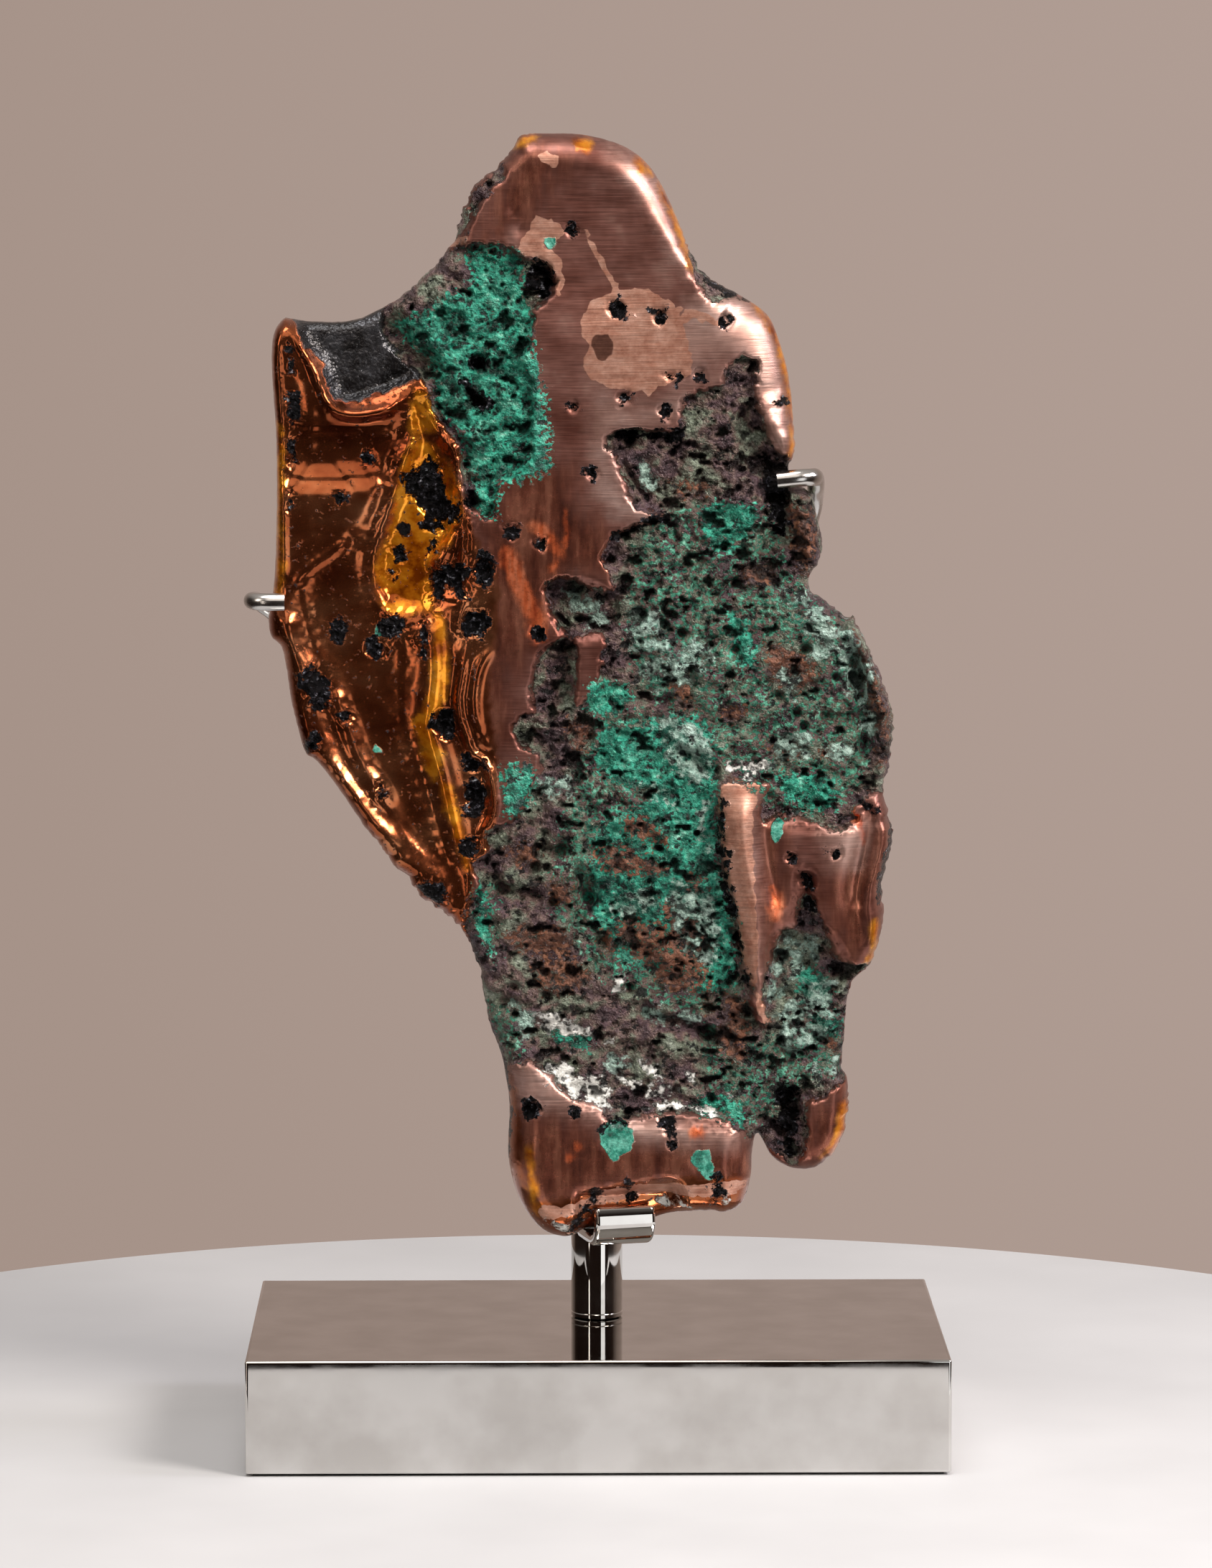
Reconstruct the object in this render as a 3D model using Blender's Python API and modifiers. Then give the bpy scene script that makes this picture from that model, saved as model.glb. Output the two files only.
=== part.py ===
"""Native copper nugget held upright on a polished steel stand.

Lengths in this file are millimetres until MM turns them into metres. +Z is up and the nugget's
show side faces -Y. The origin is the middle of the felt pad's underside, on the table.
"""

import math
from dataclasses import dataclass

import bmesh
import bpy
import numpy as np
from mathutils import Vector, noise
from mathutils.geometry import delaunay_2d_cdt

MM = 0.001
TOUCHING_GAP = 0.3

# The base: a solid block on a thin pad.
BLOCK_WIDTH = 254.0
BLOCK_DEPTH = 152.4
BLOCK_HEIGHT = 41.3
BLOCK_EDGE = 0.8
PAD_THICKNESS = 0.6
PAD_INSET = 2.5
BLOCK_BOTTOM = PAD_THICKNESS + TOUCHING_GAP
BLOCK_TOP = BLOCK_BOTTOM + BLOCK_HEIGHT

# The post, which runs up behind the nugget.
POST_RADIUS = 19.05 / 2
POST_X = 0.3
POST_Y = 6.0
POST_TOP = 262.0
POST_EDGE = 1.2

# The saddle: a strip bent to a J, turned a little about the vertical.
STRIP_WIDTH = 22.5
STRIP_THICKNESS = 4.0
SADDLE_YAW = math.radians(14.0)
SADDLE_REACH = 33.0
SADDLE_BOTTOM = 75.3
LIP_TOP = 90.2
RISER_TOP = 118.0
BEND_RADIUS = 5.0
STRIP_EDGE = 1.3
SEAT_MARGIN = 4.5
SEAT_SLOPE = 1.5
SEAT_CLEARANCE = 0.4

# The two hooks, each bent from one round rod.
ROD_RADIUS = 6.35 / 2
ROD_STEP = 6.5
LEFT_HOOK_Z = 312.4
LEFT_HOOK_TIP_X = -112.6
LEFT_HOOK_SIDE_X = -124.6
RIGHT_HOOK_Z = 355.6
RIGHT_HOOK_TIP_X = 65.0
RIGHT_HOOK_SIDE_X = 79.0
LEFT_ARM_Z = 226.0
RIGHT_ARM_Z = 246.0

# The nugget: an outline, and how far its two faces stand off the plane of the outline.
MIDDLE_Y = -19.5
FRONT_DEPTH = 15.0
BACK_DEPTH = 12.0
BACK_ROOM = 1.5
THINNEST = 2.5
RIM_STEP = 6.0
ROUTE_STEPS = 6
ROUNDING_BLEND = 13
FRONT_STEP = 5.0
BACK_STEP = 10.0
LINE_STEP = 4.0
FRONT_RINGS = (0.9, 2.8)
BACK_RINGS = (1.2,)


@dataclass(frozen=True)
class Stretch:
    """A length of the nugget's outline, clockwise from the front, with its edge rounding."""

    name: str
    rounding: float
    points: tuple


@dataclass(frozen=True)
class Area:
    """A patch that stands proud (+) or is sunk (-), with a soft border."""

    name: str
    height: float
    border: float
    points: tuple


@dataclass(frozen=True)
class Line:
    """A ridge (+) or a groove (-) along a route."""

    name: str
    height: float
    width: float
    points: tuple


@dataclass(frozen=True)
class Pit:
    """A round hollow."""

    x: float
    z: float
    radius: float
    depth: float


RIM = (
    Stretch("crown", 11.0, ((-27, 479.5), (-17.5, 480), (-4.5, 479.5), (8.5, 476), (17.5, 470),
                            (24, 460.5), (30, 447.5), (35, 436))),
    Stretch("shoulder_notch", 5.0, ((39.5, 429.5), (45.5, 425.5), (52.5, 421.5))),
    Stretch("right_shoulder", 10.0, ((61.5, 415), (66, 405.5), (69.5, 392.5), (71.5, 375.5),
                                     (72, 365), (70, 361))),
    Stretch("hook_notch", 5.0, ((68.5, 358.5), (70, 349.5))),
    Stretch("knob", 8.0, ((76, 344), (80, 341), (82, 335), (81.5, 329.5), (79.5, 321.5), (77.5, 320.5))),
    Stretch("upper_right", 5.0, ((77.5, 315.5), (80, 313.5), (86, 309.5), (90.5, 305.5), (93.5, 306),
                                 (96, 300.5), (100.5, 291.5), (105.5, 278.5), (108, 270),
                                 (108.5, 263), (107, 251.5), (105, 244))),
    Stretch("right_patch", 6.0, ((107, 232.5), (108.5, 225.5), (106.5, 217), (104.5, 208.5),
                                 (105, 198), (103.5, 188), (100, 178))),
    Stretch("lower_right", 6.0, ((94, 172), (91.5, 162), (90.5, 149), (90, 141))),
    Stretch("toe", 12.0, ((92.5, 133), (92, 120), (87, 108.5), (80.5, 103), (72, 102.5),
                          (64.5, 106.5), (61, 112.5))),
    Stretch("cleft", 4.0, ((58.5, 115.5),)),
    Stretch("flange", 12.0, ((57, 108.5), (56.5, 99.5), (53.5, 90), (47, 86.5), (40.5, 87),
                             (31.5, 86.5), (24, 85), (14, 81.5), (5, 80.8), (-3, 80.8), (-7.5, 78.5),
                             (-12.5, 77.5), (-20, 80), (-26.5, 87.5), (-30.5, 97))),
    Stretch("flange_side", 6.0, ((-32.5, 108.5), (-32, 126), (-33.5, 137.5))),
    Stretch("lower_left", 6.0, ((-35, 145), (-39, 155), (-41, 165), (-43, 175.5), (-45, 181.5),
                                (-47, 186))),
    Stretch("fold_edge", 5.0, ((-49.5, 191), (-57, 197.5), (-66, 204.5), (-69, 210), (-74.5, 215),
                               (-79.5, 222.5), (-84.5, 228.5), (-90, 237), (-97, 247), (-102.5, 253.5),
                               (-106, 256), (-108.5, 264), (-111, 274.5))),
    Stretch("left_edge", 5.0, ((-112.5, 284.5), (-114.5, 294.5), (-118.5, 299), (-119, 307.5),
                               (-117, 319), (-116, 344.5), (-116, 370), (-117, 387), (-117.5, 399.5),
                               (-116.5, 408.5), (-113, 413.5))),
    Stretch("hollow_edge", 5.0, ((-110, 413.5), (-102, 412.5), (-88, 413))),
    Stretch("upper_left", 6.0, ((-76.5, 418), (-68, 424), (-58, 433.5), (-52.5, 441), (-49.5, 450.5),
                                (-45, 460.5), (-36.5, 468), (-30.5, 474.5))),
)

CRUSTS = (
    Area("upper_crust", -3.0, 4.0, (
        (-70, 425), (-60, 438), (-45, 442), (-34, 439), (-22, 437), (-15, 429), (-18, 415), (-33, 407),
        (-34, 389), (-24, 369), (-28, 356), (-44, 353), (-60, 363), (-68, 379), (-74, 384), (-70, 394),
        (-80, 405), (-85, 415))),
    Area("main_crust", -4.5, 4.0, (
        (3, 370), (19, 374), (33, 384), (43, 399), (52, 399), (56, 384), (65, 368), (67, 350),
        (75, 322), (90, 306), (105, 275), (105, 246), (83, 236), (65, 241), (44, 248), (44, 204),
        (49, 165), (57, 120), (34, 127), (7, 124), (-11, 128), (-21, 141), (-34, 149), (-47, 186),
        (-53, 207), (-45, 231), (-34, 254), (-24, 270), (-29, 280), (-19, 296), (0, 299), (7, 304),
        (5, 322), (18, 344), (10, 350))),
    Area("groove", -4.5, 8.0, (
        (66, 204), (79, 204), (91, 178), (87, 159), (87, 138), (70, 138), (60, 123), (60, 144),
        (64, 165), (63, 189))),
)

FORMS = (
    Area("hammered_hollow", -10.0, 7.0, (
        (-108, 414), (-85, 416), (-70, 418), (-64, 405), (-66, 388), (-78, 384), (-91, 382),
        (-98, 388), (-104, 398))),
    Area("drapery", -3.0, 14.0, (
        (-111, 411), (-102, 394), (-93, 381), (-75, 384), (-65, 374), (-60, 363), (-47, 343),
        (-50, 322), (-48, 296), (-37, 254), (-39, 233), (-50, 215), (-49, 197), (-71, 214),
        (-94, 245), (-107, 260), (-113, 288), (-117, 304), (-116, 348), (-116, 400))),
    Area("amber_bowl", -5.0, 16.0, (
        (-62, 367), (-49, 363), (-46, 348), (-47, 325), (-57, 306), (-68, 302), (-77, 312),
        (-79, 332), (-74, 353))),
    Area("grey_pocket", -3.0, 4.0, ((5, 371), (23, 372), (31, 361), (25, 348), (16, 345), (9, 353))),
    Area("middle_pocket", -5.0, 4.0, (
        (-22, 318), (-8, 320), (5, 314), (5, 301), (-8, 297), (-16, 301), (-21, 309))),
    Area("dark_pocket", -4.0, 4.0, (
        (-22, 295), (-11, 297), (-7, 286), (-10, 270), (-24, 269), (-29, 278))),
    Area("panel", 2.0, 6.0, (
        (46, 246), (59, 246), (63, 231), (65, 210), (61, 181), (62, 160), (56, 170), (52, 194),
        (48, 223))),
    Area("flange", 3.0, 7.0, (
        (-36, 141), (-19, 139), (-8, 127), (10, 119), (34, 121), (58, 119), (58, 90), (44, 80),
        (18, 78), (-3, 70), (-21, 70), (-36, 100))),
    Area("behind_the_hook", -8.0, 9.0, (
        (58, 363), (68, 359), (71, 348), (69, 332), (75, 322), (64, 318), (58, 332))),
)

LINES = (
    Line("hollow_lip", 6.5, 3.0, (
        (-112, 413), (-106, 400), (-98, 387), (-91, 381), (-78, 381), (-66, 388))),
    Line("rim_roll", 5.0, 3.5, ((-114, 407), (-113, 384), (-113, 350), (-114, 325), (-115, 312))),
    Line("second_ridge", 6.0, 4.0, ((-108, 407), (-104, 389), (-101, 363), (-102, 343), (-107, 322))),
    Line("crease", -5.0, 4.5, ((-74, 379), (-80, 358), (-86, 338), (-99, 322), (-109, 314))),
    Line("bowl_rim", 4.5, 4.0, ((-70, 376), (-80, 352), (-85, 330), (-82, 312), (-74, 298), (-68, 270))),
    Line("long_ridge", 4.0, 3.5, (
        (-48, 350), (-48, 325), (-52, 309), (-53, 296), (-54, 274), (-48, 262), (-41, 256), (-37, 244),
        (-38, 232))),
    Line("lower_fold", 5.0, 3.5, ((-106, 269), (-91, 248), (-78, 231), (-65, 215), (-52, 199))),
    Line("lower_valley", -4.5, 5.0, ((-98, 276), (-86, 256), (-73, 236), (-60, 217), (-50, 204))),
    Line("right_rim", 4.5, 4.0, ((88, 302), (100, 282), (103, 264), (101, 246))),
    Line("shoulder_ridge", 2.5, 6.0, ((44, 421), (56, 415), (63, 402), (66, 384), (67, 368))),
    Line("ledge", -4.0, 3.0, ((-74, 400), (-66, 396), (-58, 402))),
    Line("sheet_edge", -2.5, 3.0, ((7, 280), (18, 274), (27, 279))),
)

BACK_LINES = (
    Line("spine", 3.0, 16.0, ((-12, 455), (-20, 400), (-40, 330), (-30, 262))),
    Line("right_swell", 2.5, 14.0, ((40, 385), (52, 330), (70, 280), (80, 235))),
    Line("left_furrow", -4.0, 8.0, ((-104, 395), (-90, 345), (-84, 300), (-70, 245))),
    Line("middle_furrow", -3.5, 9.0, ((10, 420), (20, 350), (44, 300), (50, 230), (36, 170))),
    Line("foot_furrow", -3.0, 7.0, ((-34, 150), (0, 142), (34, 148), (62, 140))),
)

PITS = tuple(Pit(*values) for values in (
    (-43, 399, 5.0, 4.0), (-46, 385, 4.0, 3.0), (-41, 323, 5.5, 3.0), (-44, 304, 5.5, 3.0),
    (-56, 267, 5.5, 3.0), (-44, 242, 6.5, 3.0), (-46, 223, 5.0, 2.5), (-94, 301, 4.0, 2.0),
    (-70, 301, 4.0, 2.0), (-60, 348, 7.0, 2.5), (-52, 317, 6.0, 2.5), (-3, 218, 5.0, 3.5),
    (-24, 220, 5.5, 3.5), (-8, 199, 5.0, 3.5), (41, 153, 5.5, 4.0), (-24, 204, 5.0, 3.5),
    (46, 394, 4.5, 2.5), (78, 158, 5.0, 3.0), (-24, 128, 4.0, 2.5), (6, 115, 5.5, 2.0),
    (38, 107, 5.0, 1.5), (70, 220, 4.5, 2.0)))

# Small knobs and pits scattered over the crusts, and over the back.
CRUST_PITS = 70
BACK_PITS = 45
BACK_PIT_MARGIN = 8.0
SCATTER_X = (-118, 108)
SCATTER_Z = (80, 478)
SCATTER_SEED = 7
LUMP_SCALE = 11.0
LUMP_HEIGHT = 2.4
BACK_LUMP_HEIGHT = 1.4


def smooth_route(points, closed=False, steps=ROUTE_STEPS):
    """A Catmull-Rom curve through the points, as an array of rows."""
    route = np.array(points, float)
    if closed:
        padded = np.vstack([route[-1:], route, route[:2]])
    else:
        padded = np.vstack([2 * route[0] - route[1], route, 2 * route[-1] - route[-2]])
    t = np.linspace(0, 1, steps, endpoint=False)[:, None]
    pieces = []
    for a, b, c, d in zip(padded, padded[1:], padded[2:], padded[3:]):
        curve = (2 * b + (c - a) * t + (2 * a - 5 * b + 4 * c - d) * t**2 + (3 * b - a - 3 * c + d) * t**3)
        pieces.append(curve / 2)
    if not closed:
        pieces.append(route[-1:])
    return np.vstack(pieces)


def evenly_spaced(route, step, closed=False):
    """Points a step apart along the route, and how far along it they are from 0 to 1."""
    if closed:
        route = np.vstack([route, route[:1]])
    length = np.concatenate([[0], np.cumsum(np.linalg.norm(np.diff(route, axis=0), axis=1))])
    count = max(2, round(length[-1] / step))
    along = np.linspace(0, length[-1], count, endpoint=False) if closed else np.linspace(0, length[-1], count)
    spaced = np.stack([np.interp(along, length, route[:, i]) for i in range(route.shape[1])], axis=1)
    return spaced, along / length[-1]


def distance_to_route(points, route, closed=False):
    """Each point's distance to a polyline, and how far along it the nearest place is, in segments."""
    ends = np.roll(route, -1, axis=0) if closed else route[1:]
    starts = route if closed else route[:-1]
    nearest = np.full(len(points), np.inf)
    place = np.zeros(len(points))
    for index, (start, end) in enumerate(zip(starts, ends)):
        side = end - start
        t = np.clip(((points - start) @ side) / (side @ side), 0, 1)
        distance = np.linalg.norm(points - start - t[:, None] * side, axis=1)
        closer = distance < nearest
        nearest[closer] = distance[closer]
        place[closer] = index + t[closer]
    return nearest, place


def inside_loop(points, loop):
    """Whether each point lies inside a closed loop, by counting crossings."""
    inside = np.zeros(len(points), bool)
    for start, end in zip(loop, np.roll(loop, -1, axis=0)):
        if start[1] == end[1]:
            continue
        spans = (start[1] > points[:, 1]) != (end[1] > points[:, 1])
        crossing = (end[0] - start[0]) * (points[:, 1] - start[1]) / (end[1] - start[1]) + start[0]
        inside ^= spans & (points[:, 0] < crossing)
    return inside


def depth_inside(points, loop):
    """Distance to the loop, positive inside it."""
    distance, _ = distance_to_route(points, loop, closed=True)
    return np.where(inside_loop(points, loop), distance, -distance)


def soft_step(value):
    """0 below 0, 1 above 1 and smooth between."""
    t = np.clip(value, 0, 1)
    return t * t * (3 - 2 * t)


def area_relief(points, area):
    """Height that an area adds at each point."""
    inner = depth_inside(points, smooth_route(area.points, closed=True, steps=3))
    return area.height * soft_step(inner / area.border + 0.5)


def line_relief(points, line):
    """Height that a ridge or groove adds at each point. It fades out at its ends."""
    route = smooth_route(line.points, steps=3)
    distance, place = distance_to_route(points, route)
    along = place / (len(route) - 1)
    fade = soft_step(np.minimum(along, 1 - along) * 6 + 0.25)
    return line.height * fade * np.exp(-((distance / line.width) ** 2))


def pit_relief(points, pit):
    """Depth of a round hollow at each point."""
    distance = np.hypot(points[:, 0] - pit.x, points[:, 1] - pit.z) / pit.radius
    return -pit.depth * soft_step(1.25 - distance)


def lumps(points, seed):
    """Rounded unevenness between about -1 and 1."""
    places = (Vector((x / LUMP_SCALE, z / LUMP_SCALE, seed)) for x, z in points)
    return np.array([noise.fractal(place, 1.0, 2.0, 2) for place in places])


def scattered_pits(allowed, count, seed, radii, depths):
    """Seeded pits whose middles fall where the allowed function says so."""
    rng = np.random.default_rng(seed)
    pits = []
    while len(pits) < count:
        place = np.array([[rng.uniform(*SCATTER_X), rng.uniform(*SCATTER_Z)]])
        radius, depth = rng.uniform(*radii), rng.uniform(*depths)
        if allowed(place)[0]:
            pits.append(Pit(place[0, 0], place[0, 1], radius, depth))
    return pits


def crust_cover(points):
    """How far each point is in a crust, from 0 to 1."""
    covers = [area_relief(points, area) / area.height for area in CRUSTS]
    return np.clip(np.max(covers, axis=0), 0, 1)


class Nugget:
    """The nugget's outline and its two faces as heights over the plane of the outline."""

    def __init__(self):
        corners = np.array([point for stretch in RIM for point in stretch.points], float)
        widths = np.array([stretch.rounding for stretch in RIM for _ in stretch.points])
        curve = smooth_route(corners, closed=True)
        self.outline, along = evenly_spaced(curve, RIM_STEP, closed=True)
        widths = np.repeat(widths, ROUTE_STEPS)
        spread = np.pad(widths, ROUNDING_BLEND, mode="wrap")
        blend = np.ones(ROUNDING_BLEND) / ROUNDING_BLEND
        widths = np.convolve(spread, blend, mode="same")[ROUNDING_BLEND:-ROUNDING_BLEND]
        self.rounding = widths[np.round(along * len(widths)).astype(int) % len(widths)]
        self.crust_pits = scattered_pits(
            lambda place: crust_cover(place) > 0.9, CRUST_PITS, SCATTER_SEED, (3.0, 5.2), (2.0, 3.8))
        self.back_pits = scattered_pits(
            lambda place: depth_inside(place, self.outline) > BACK_PIT_MARGIN,
            BACK_PITS, SCATTER_SEED + 1, (5.0, 9.0), (1.0, 2.5))

    def rise(self, points):
        """How much of the full depth each point has, from 0 at the outline to 1 inside."""
        distance, place = distance_to_route(points, self.outline, closed=True)
        width = self.rounding[np.round(place).astype(int) % len(self.outline)]
        t = np.clip(distance / width, 0, 1)
        return np.sqrt(1 - (1 - t) ** 2)

    def front(self, points):
        """Y of the show side at each (x, z)."""
        height = FRONT_DEPTH + sum(area_relief(points, area) for area in CRUSTS + FORMS)
        height = height + sum(line_relief(points, line) for line in LINES)
        height = height + sum(pit_relief(points, pit) for pit in PITS + tuple(self.crust_pits))
        height = height + LUMP_HEIGHT * lumps(points, 3.7) * crust_cover(points)
        height = np.minimum(height, self.room_in_saddle(points, lip_room()))
        return MIDDLE_Y - self.rise(points) * np.maximum(height, THINNEST)

    def back(self, points):
        """Y of the hidden side at each (x, z)."""
        height = BACK_DEPTH + sum(line_relief(points, line) for line in BACK_LINES)
        height = height + sum(pit_relief(points, pit) for pit in self.back_pits)
        height = height + BACK_LUMP_HEIGHT * lumps(points, 9.1)
        height = np.minimum(height, BACK_DEPTH + BACK_ROOM)
        height = np.minimum(height, self.room_in_saddle(points, riser_room()))
        return MIDDLE_Y + self.rise(points) * np.maximum(height, THINNEST)

    def room_in_saddle(self, points, room):
        """The most height that the saddle leaves, growing away from the strip."""
        (low_x, high_x), top_z, height, slope = room
        middle_x = (low_x + high_x) / 2
        beside = np.maximum(np.abs(points[:, 0] - middle_x) - (high_x - low_x) / 2, 0)
        above = np.maximum(points[:, 1] - top_z, 0)
        limit = height + slope * (np.clip(points[:, 0], low_x, high_x) - middle_x)
        return limit + SEAT_SLOPE * np.hypot(beside, above)

    def lattice(self, step, rings, lines):
        """Points inside the outline: rings near it, points along the lines, and an even lattice."""
        normal = np.roll(self.outline, -1, axis=0) - np.roll(self.outline, 1, axis=0)
        normal = np.stack([normal[:, 1], -normal[:, 0]], axis=1)
        normal /= np.linalg.norm(normal, axis=1)[:, None]
        kept = []
        for offset in rings:
            ring = self.outline + offset * normal
            inner = depth_inside(ring, self.outline)
            kept.append(ring[np.abs(inner - offset) < 0.15 * offset])
        margin = rings[-1] + 0.45 * step
        for line in lines:
            along, _ = evenly_spaced(smooth_route(line.points), LINE_STEP)
            kept.append(along[depth_inside(along, self.outline) > margin])
        fixed = np.vstack(kept[len(rings):]) if lines else np.zeros((0, 2))
        low, high = self.outline.min(axis=0), self.outline.max(axis=0)
        row_step = step * math.sqrt(3) / 2
        rows = np.arange(low[1], high[1], row_step)
        grid = [(x + (row % 2) * step / 2, z) for row, z in enumerate(rows)
                for x in np.arange(low[0], high[0], step)]
        grid = np.array(grid)
        grid = grid[depth_inside(grid, self.outline) > margin]
        if len(fixed):
            gaps = np.linalg.norm(grid[:, None] - fixed[None], axis=2).min(axis=1)
            grid = grid[gaps > 0.6 * step]
        return np.vstack(kept + [grid])

    def sheet(self, inner):
        """Triangles over the outline and the inner points, as rows of three indices."""
        count = len(self.outline)
        points = [Vector(point) for point in np.vstack([self.outline, inner])]
        edges = [(i, (i + 1) % count) for i in range(count)]
        _, _, faces, sources, _, _ = delaunay_2d_cdt(points, edges, [], 1, 1e-6)
        return [[sources[corner][0] for corner in face] for face in faces]

    def build(self):
        """The closed mesh: the front sheet and the back sheet share the outline's points."""
        front = self.lattice(FRONT_STEP, FRONT_RINGS, LINES)
        back = self.lattice(BACK_STEP, BACK_RINGS, ())
        count = len(self.outline)
        rim = np.insert(self.outline, 1, MIDDLE_Y, axis=1)
        front_points = np.insert(front, 1, self.front(front), axis=1)
        back_points = np.insert(back, 1, self.back(back), axis=1)
        mesh = bmesh.new()
        verts = [mesh.verts.new(point * MM) for point in np.vstack([rim, front_points, back_points])]
        for face in self.sheet(front):
            mesh.faces.new([verts[i] for i in face])
        shift = len(front)
        for face in self.sheet(back):
            mesh.faces.new([verts[i if i < count else i + shift] for i in reversed(face)])
        bmesh.ops.recalc_face_normals(mesh, faces=mesh.faces)
        return mesh


def saddle_axes():
    """The saddle's two level directions: along its width, and from its lip to the post."""
    return (np.array([math.cos(SADDLE_YAW), math.sin(SADDLE_YAW)]),
            np.array([-math.sin(SADDLE_YAW), math.cos(SADDLE_YAW)]))


def saddle_corner():
    """(x, y) of the middle of the lip's outer face."""
    _, back = saddle_axes()
    post = np.array([POST_X, POST_Y])
    return post - back * (POST_RADIUS + TOUCHING_GAP + SADDLE_REACH)


def lip_room():
    """The x range, top and height that the lip leaves to the nugget's front, and its slope in x."""
    _, back = saddle_axes()
    x, y = saddle_corner() + back * (STRIP_THICKNESS + TOUCHING_GAP)
    half = STRIP_WIDTH / 2 + SEAT_MARGIN
    return (x - half, x + half), LIP_TOP + SEAT_MARGIN, MIDDLE_Y - y - SEAT_CLEARANCE, -math.tan(SADDLE_YAW)


def riser_room():
    """The same for the strip's rear leg and the nugget's back."""
    _, back = saddle_axes()
    x, y = saddle_corner() + back * (SADDLE_REACH - STRIP_THICKNESS - TOUCHING_GAP)
    half = STRIP_WIDTH / 2 + SEAT_MARGIN
    return (x - half, x + half), RISER_TOP + SEAT_MARGIN, y - MIDDLE_Y - SEAT_CLEARANCE, math.tan(SADDLE_YAW)


def material(name, colour, metallic, roughness):
    """A Principled material."""
    made = bpy.data.materials.new(name)
    made.use_nodes = True
    shader = made.node_tree.nodes["Principled BSDF"]
    shader.inputs["Base Color"].default_value = (*colour, 1)
    shader.inputs["Metallic"].default_value = metallic
    shader.inputs["Roughness"].default_value = roughness
    made.diffuse_color = (*colour, 1)
    return made


def add_object(name, mesh, finish, collection):
    """A new object that holds a bmesh."""
    data = bpy.data.meshes.new(name)
    mesh.to_mesh(data)
    mesh.free()
    data.materials.append(finish)
    made = bpy.data.objects.new(name, data)
    collection.objects.link(made)
    return made


def add_bevel(piece, width, segments):
    """A Bevel modifier on the sharp edges."""
    bevel = piece.modifiers.new("edges", "BEVEL")
    bevel.width = width * MM
    bevel.segments = segments
    bevel.limit_method = "ANGLE"
    bevel.angle_limit = math.radians(50)


def box_mesh(width, depth, height):
    """A box centred on its own origin."""
    mesh = bmesh.new()
    bmesh.ops.create_cube(mesh, size=1)
    bmesh.ops.scale(mesh, vec=Vector((width, depth, height)) * MM, verts=mesh.verts)
    return mesh


def add_felt_pad(collection, finish):
    """The thin pad that the block stands on."""
    width, depth = BLOCK_WIDTH - 2 * PAD_INSET, BLOCK_DEPTH - 2 * PAD_INSET
    pad = add_object("felt_pad", box_mesh(width, depth, PAD_THICKNESS), finish, collection)
    pad.location.z = PAD_THICKNESS / 2 * MM


def add_base_block(collection, finish):
    """The solid block, with its edges just broken."""
    mesh = box_mesh(BLOCK_WIDTH, BLOCK_DEPTH, BLOCK_HEIGHT)
    block = add_object("base_block", mesh, finish, collection)
    block.location.z = (BLOCK_BOTTOM + BLOCK_HEIGHT / 2) * MM
    add_bevel(block, BLOCK_EDGE, 2)


def add_post(collection, finish):
    """The round post, from the block to its rounded top behind the nugget."""
    bottom = BLOCK_TOP + TOUCHING_GAP
    mesh = bmesh.new()
    bmesh.ops.create_cone(mesh, cap_ends=True, segments=48, radius1=POST_RADIUS * MM,
                          radius2=POST_RADIUS * MM, depth=(POST_TOP - bottom) * MM)
    post = add_object("post", mesh, finish, collection)
    post.location = Vector((POST_X, POST_Y, (bottom + POST_TOP) / 2)) * MM
    post.data.shade_smooth()
    post.data.set_sharp_from_angle(angle=math.radians(40))
    add_bevel(post, POST_EDGE, 2)


def saddle_profile():
    """The J's middle line as (distance from the lip's outer face, z), from the lip to the riser."""
    half = STRIP_THICKNESS / 2
    low = SADDLE_BOTTOM + half
    front, rear = half, SADDLE_REACH - half
    route = [(front, LIP_TOP)]
    for centre, start in ((front + BEND_RADIUS, math.pi), (rear - BEND_RADIUS, 1.5 * math.pi)):
        for step in range(7):
            angle = start + step / 6 * math.pi / 2
            route.append((centre + BEND_RADIUS * math.cos(angle),
                          low + BEND_RADIUS + BEND_RADIUS * math.sin(angle)))
    route.append((rear, RISER_TOP))
    return route


def add_saddle(collection, finish):
    """The strip that cradles the foot, as an open surface with a thickness and broken edges."""
    mesh = bmesh.new()
    rows = []
    for side in (-STRIP_WIDTH / 2, STRIP_WIDTH / 2):
        rows.append([mesh.verts.new(Vector((side, reach, z)) * MM) for reach, z in saddle_profile()])
    for i in range(len(rows[0]) - 1):
        mesh.faces.new((rows[0][i], rows[1][i], rows[1][i + 1], rows[0][i + 1]))
    saddle = add_object("saddle", mesh, finish, collection)
    saddle.location = Vector((*saddle_corner(), 0)) * MM
    saddle.rotation_euler.z = SADDLE_YAW
    wall = saddle.modifiers.new("thickness", "SOLIDIFY")
    wall.thickness = STRIP_THICKNESS * MM
    wall.offset = 0
    add_bevel(saddle, STRIP_EDGE, 2)


def leg_places(tip_x, side_x, z):
    """Places on the nugget that a hook's leg passes over, between its tip and its bend."""
    xs = np.linspace(tip_x, side_x, 9)
    zs = z + np.linspace(-1.2, 1.2, 5) * ROD_RADIUS
    return np.array([(x, z) for x in xs for z in zs])


def front_leg_y(nugget, tip_x, side_x, z):
    """Y of a leg whose rod just clears the nugget's front."""
    places = leg_places(tip_x, side_x, z)
    places = places[inside_loop(places, nugget.outline)]
    return nugget.front(places).min() - ROD_RADIUS - TOUCHING_GAP


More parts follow.
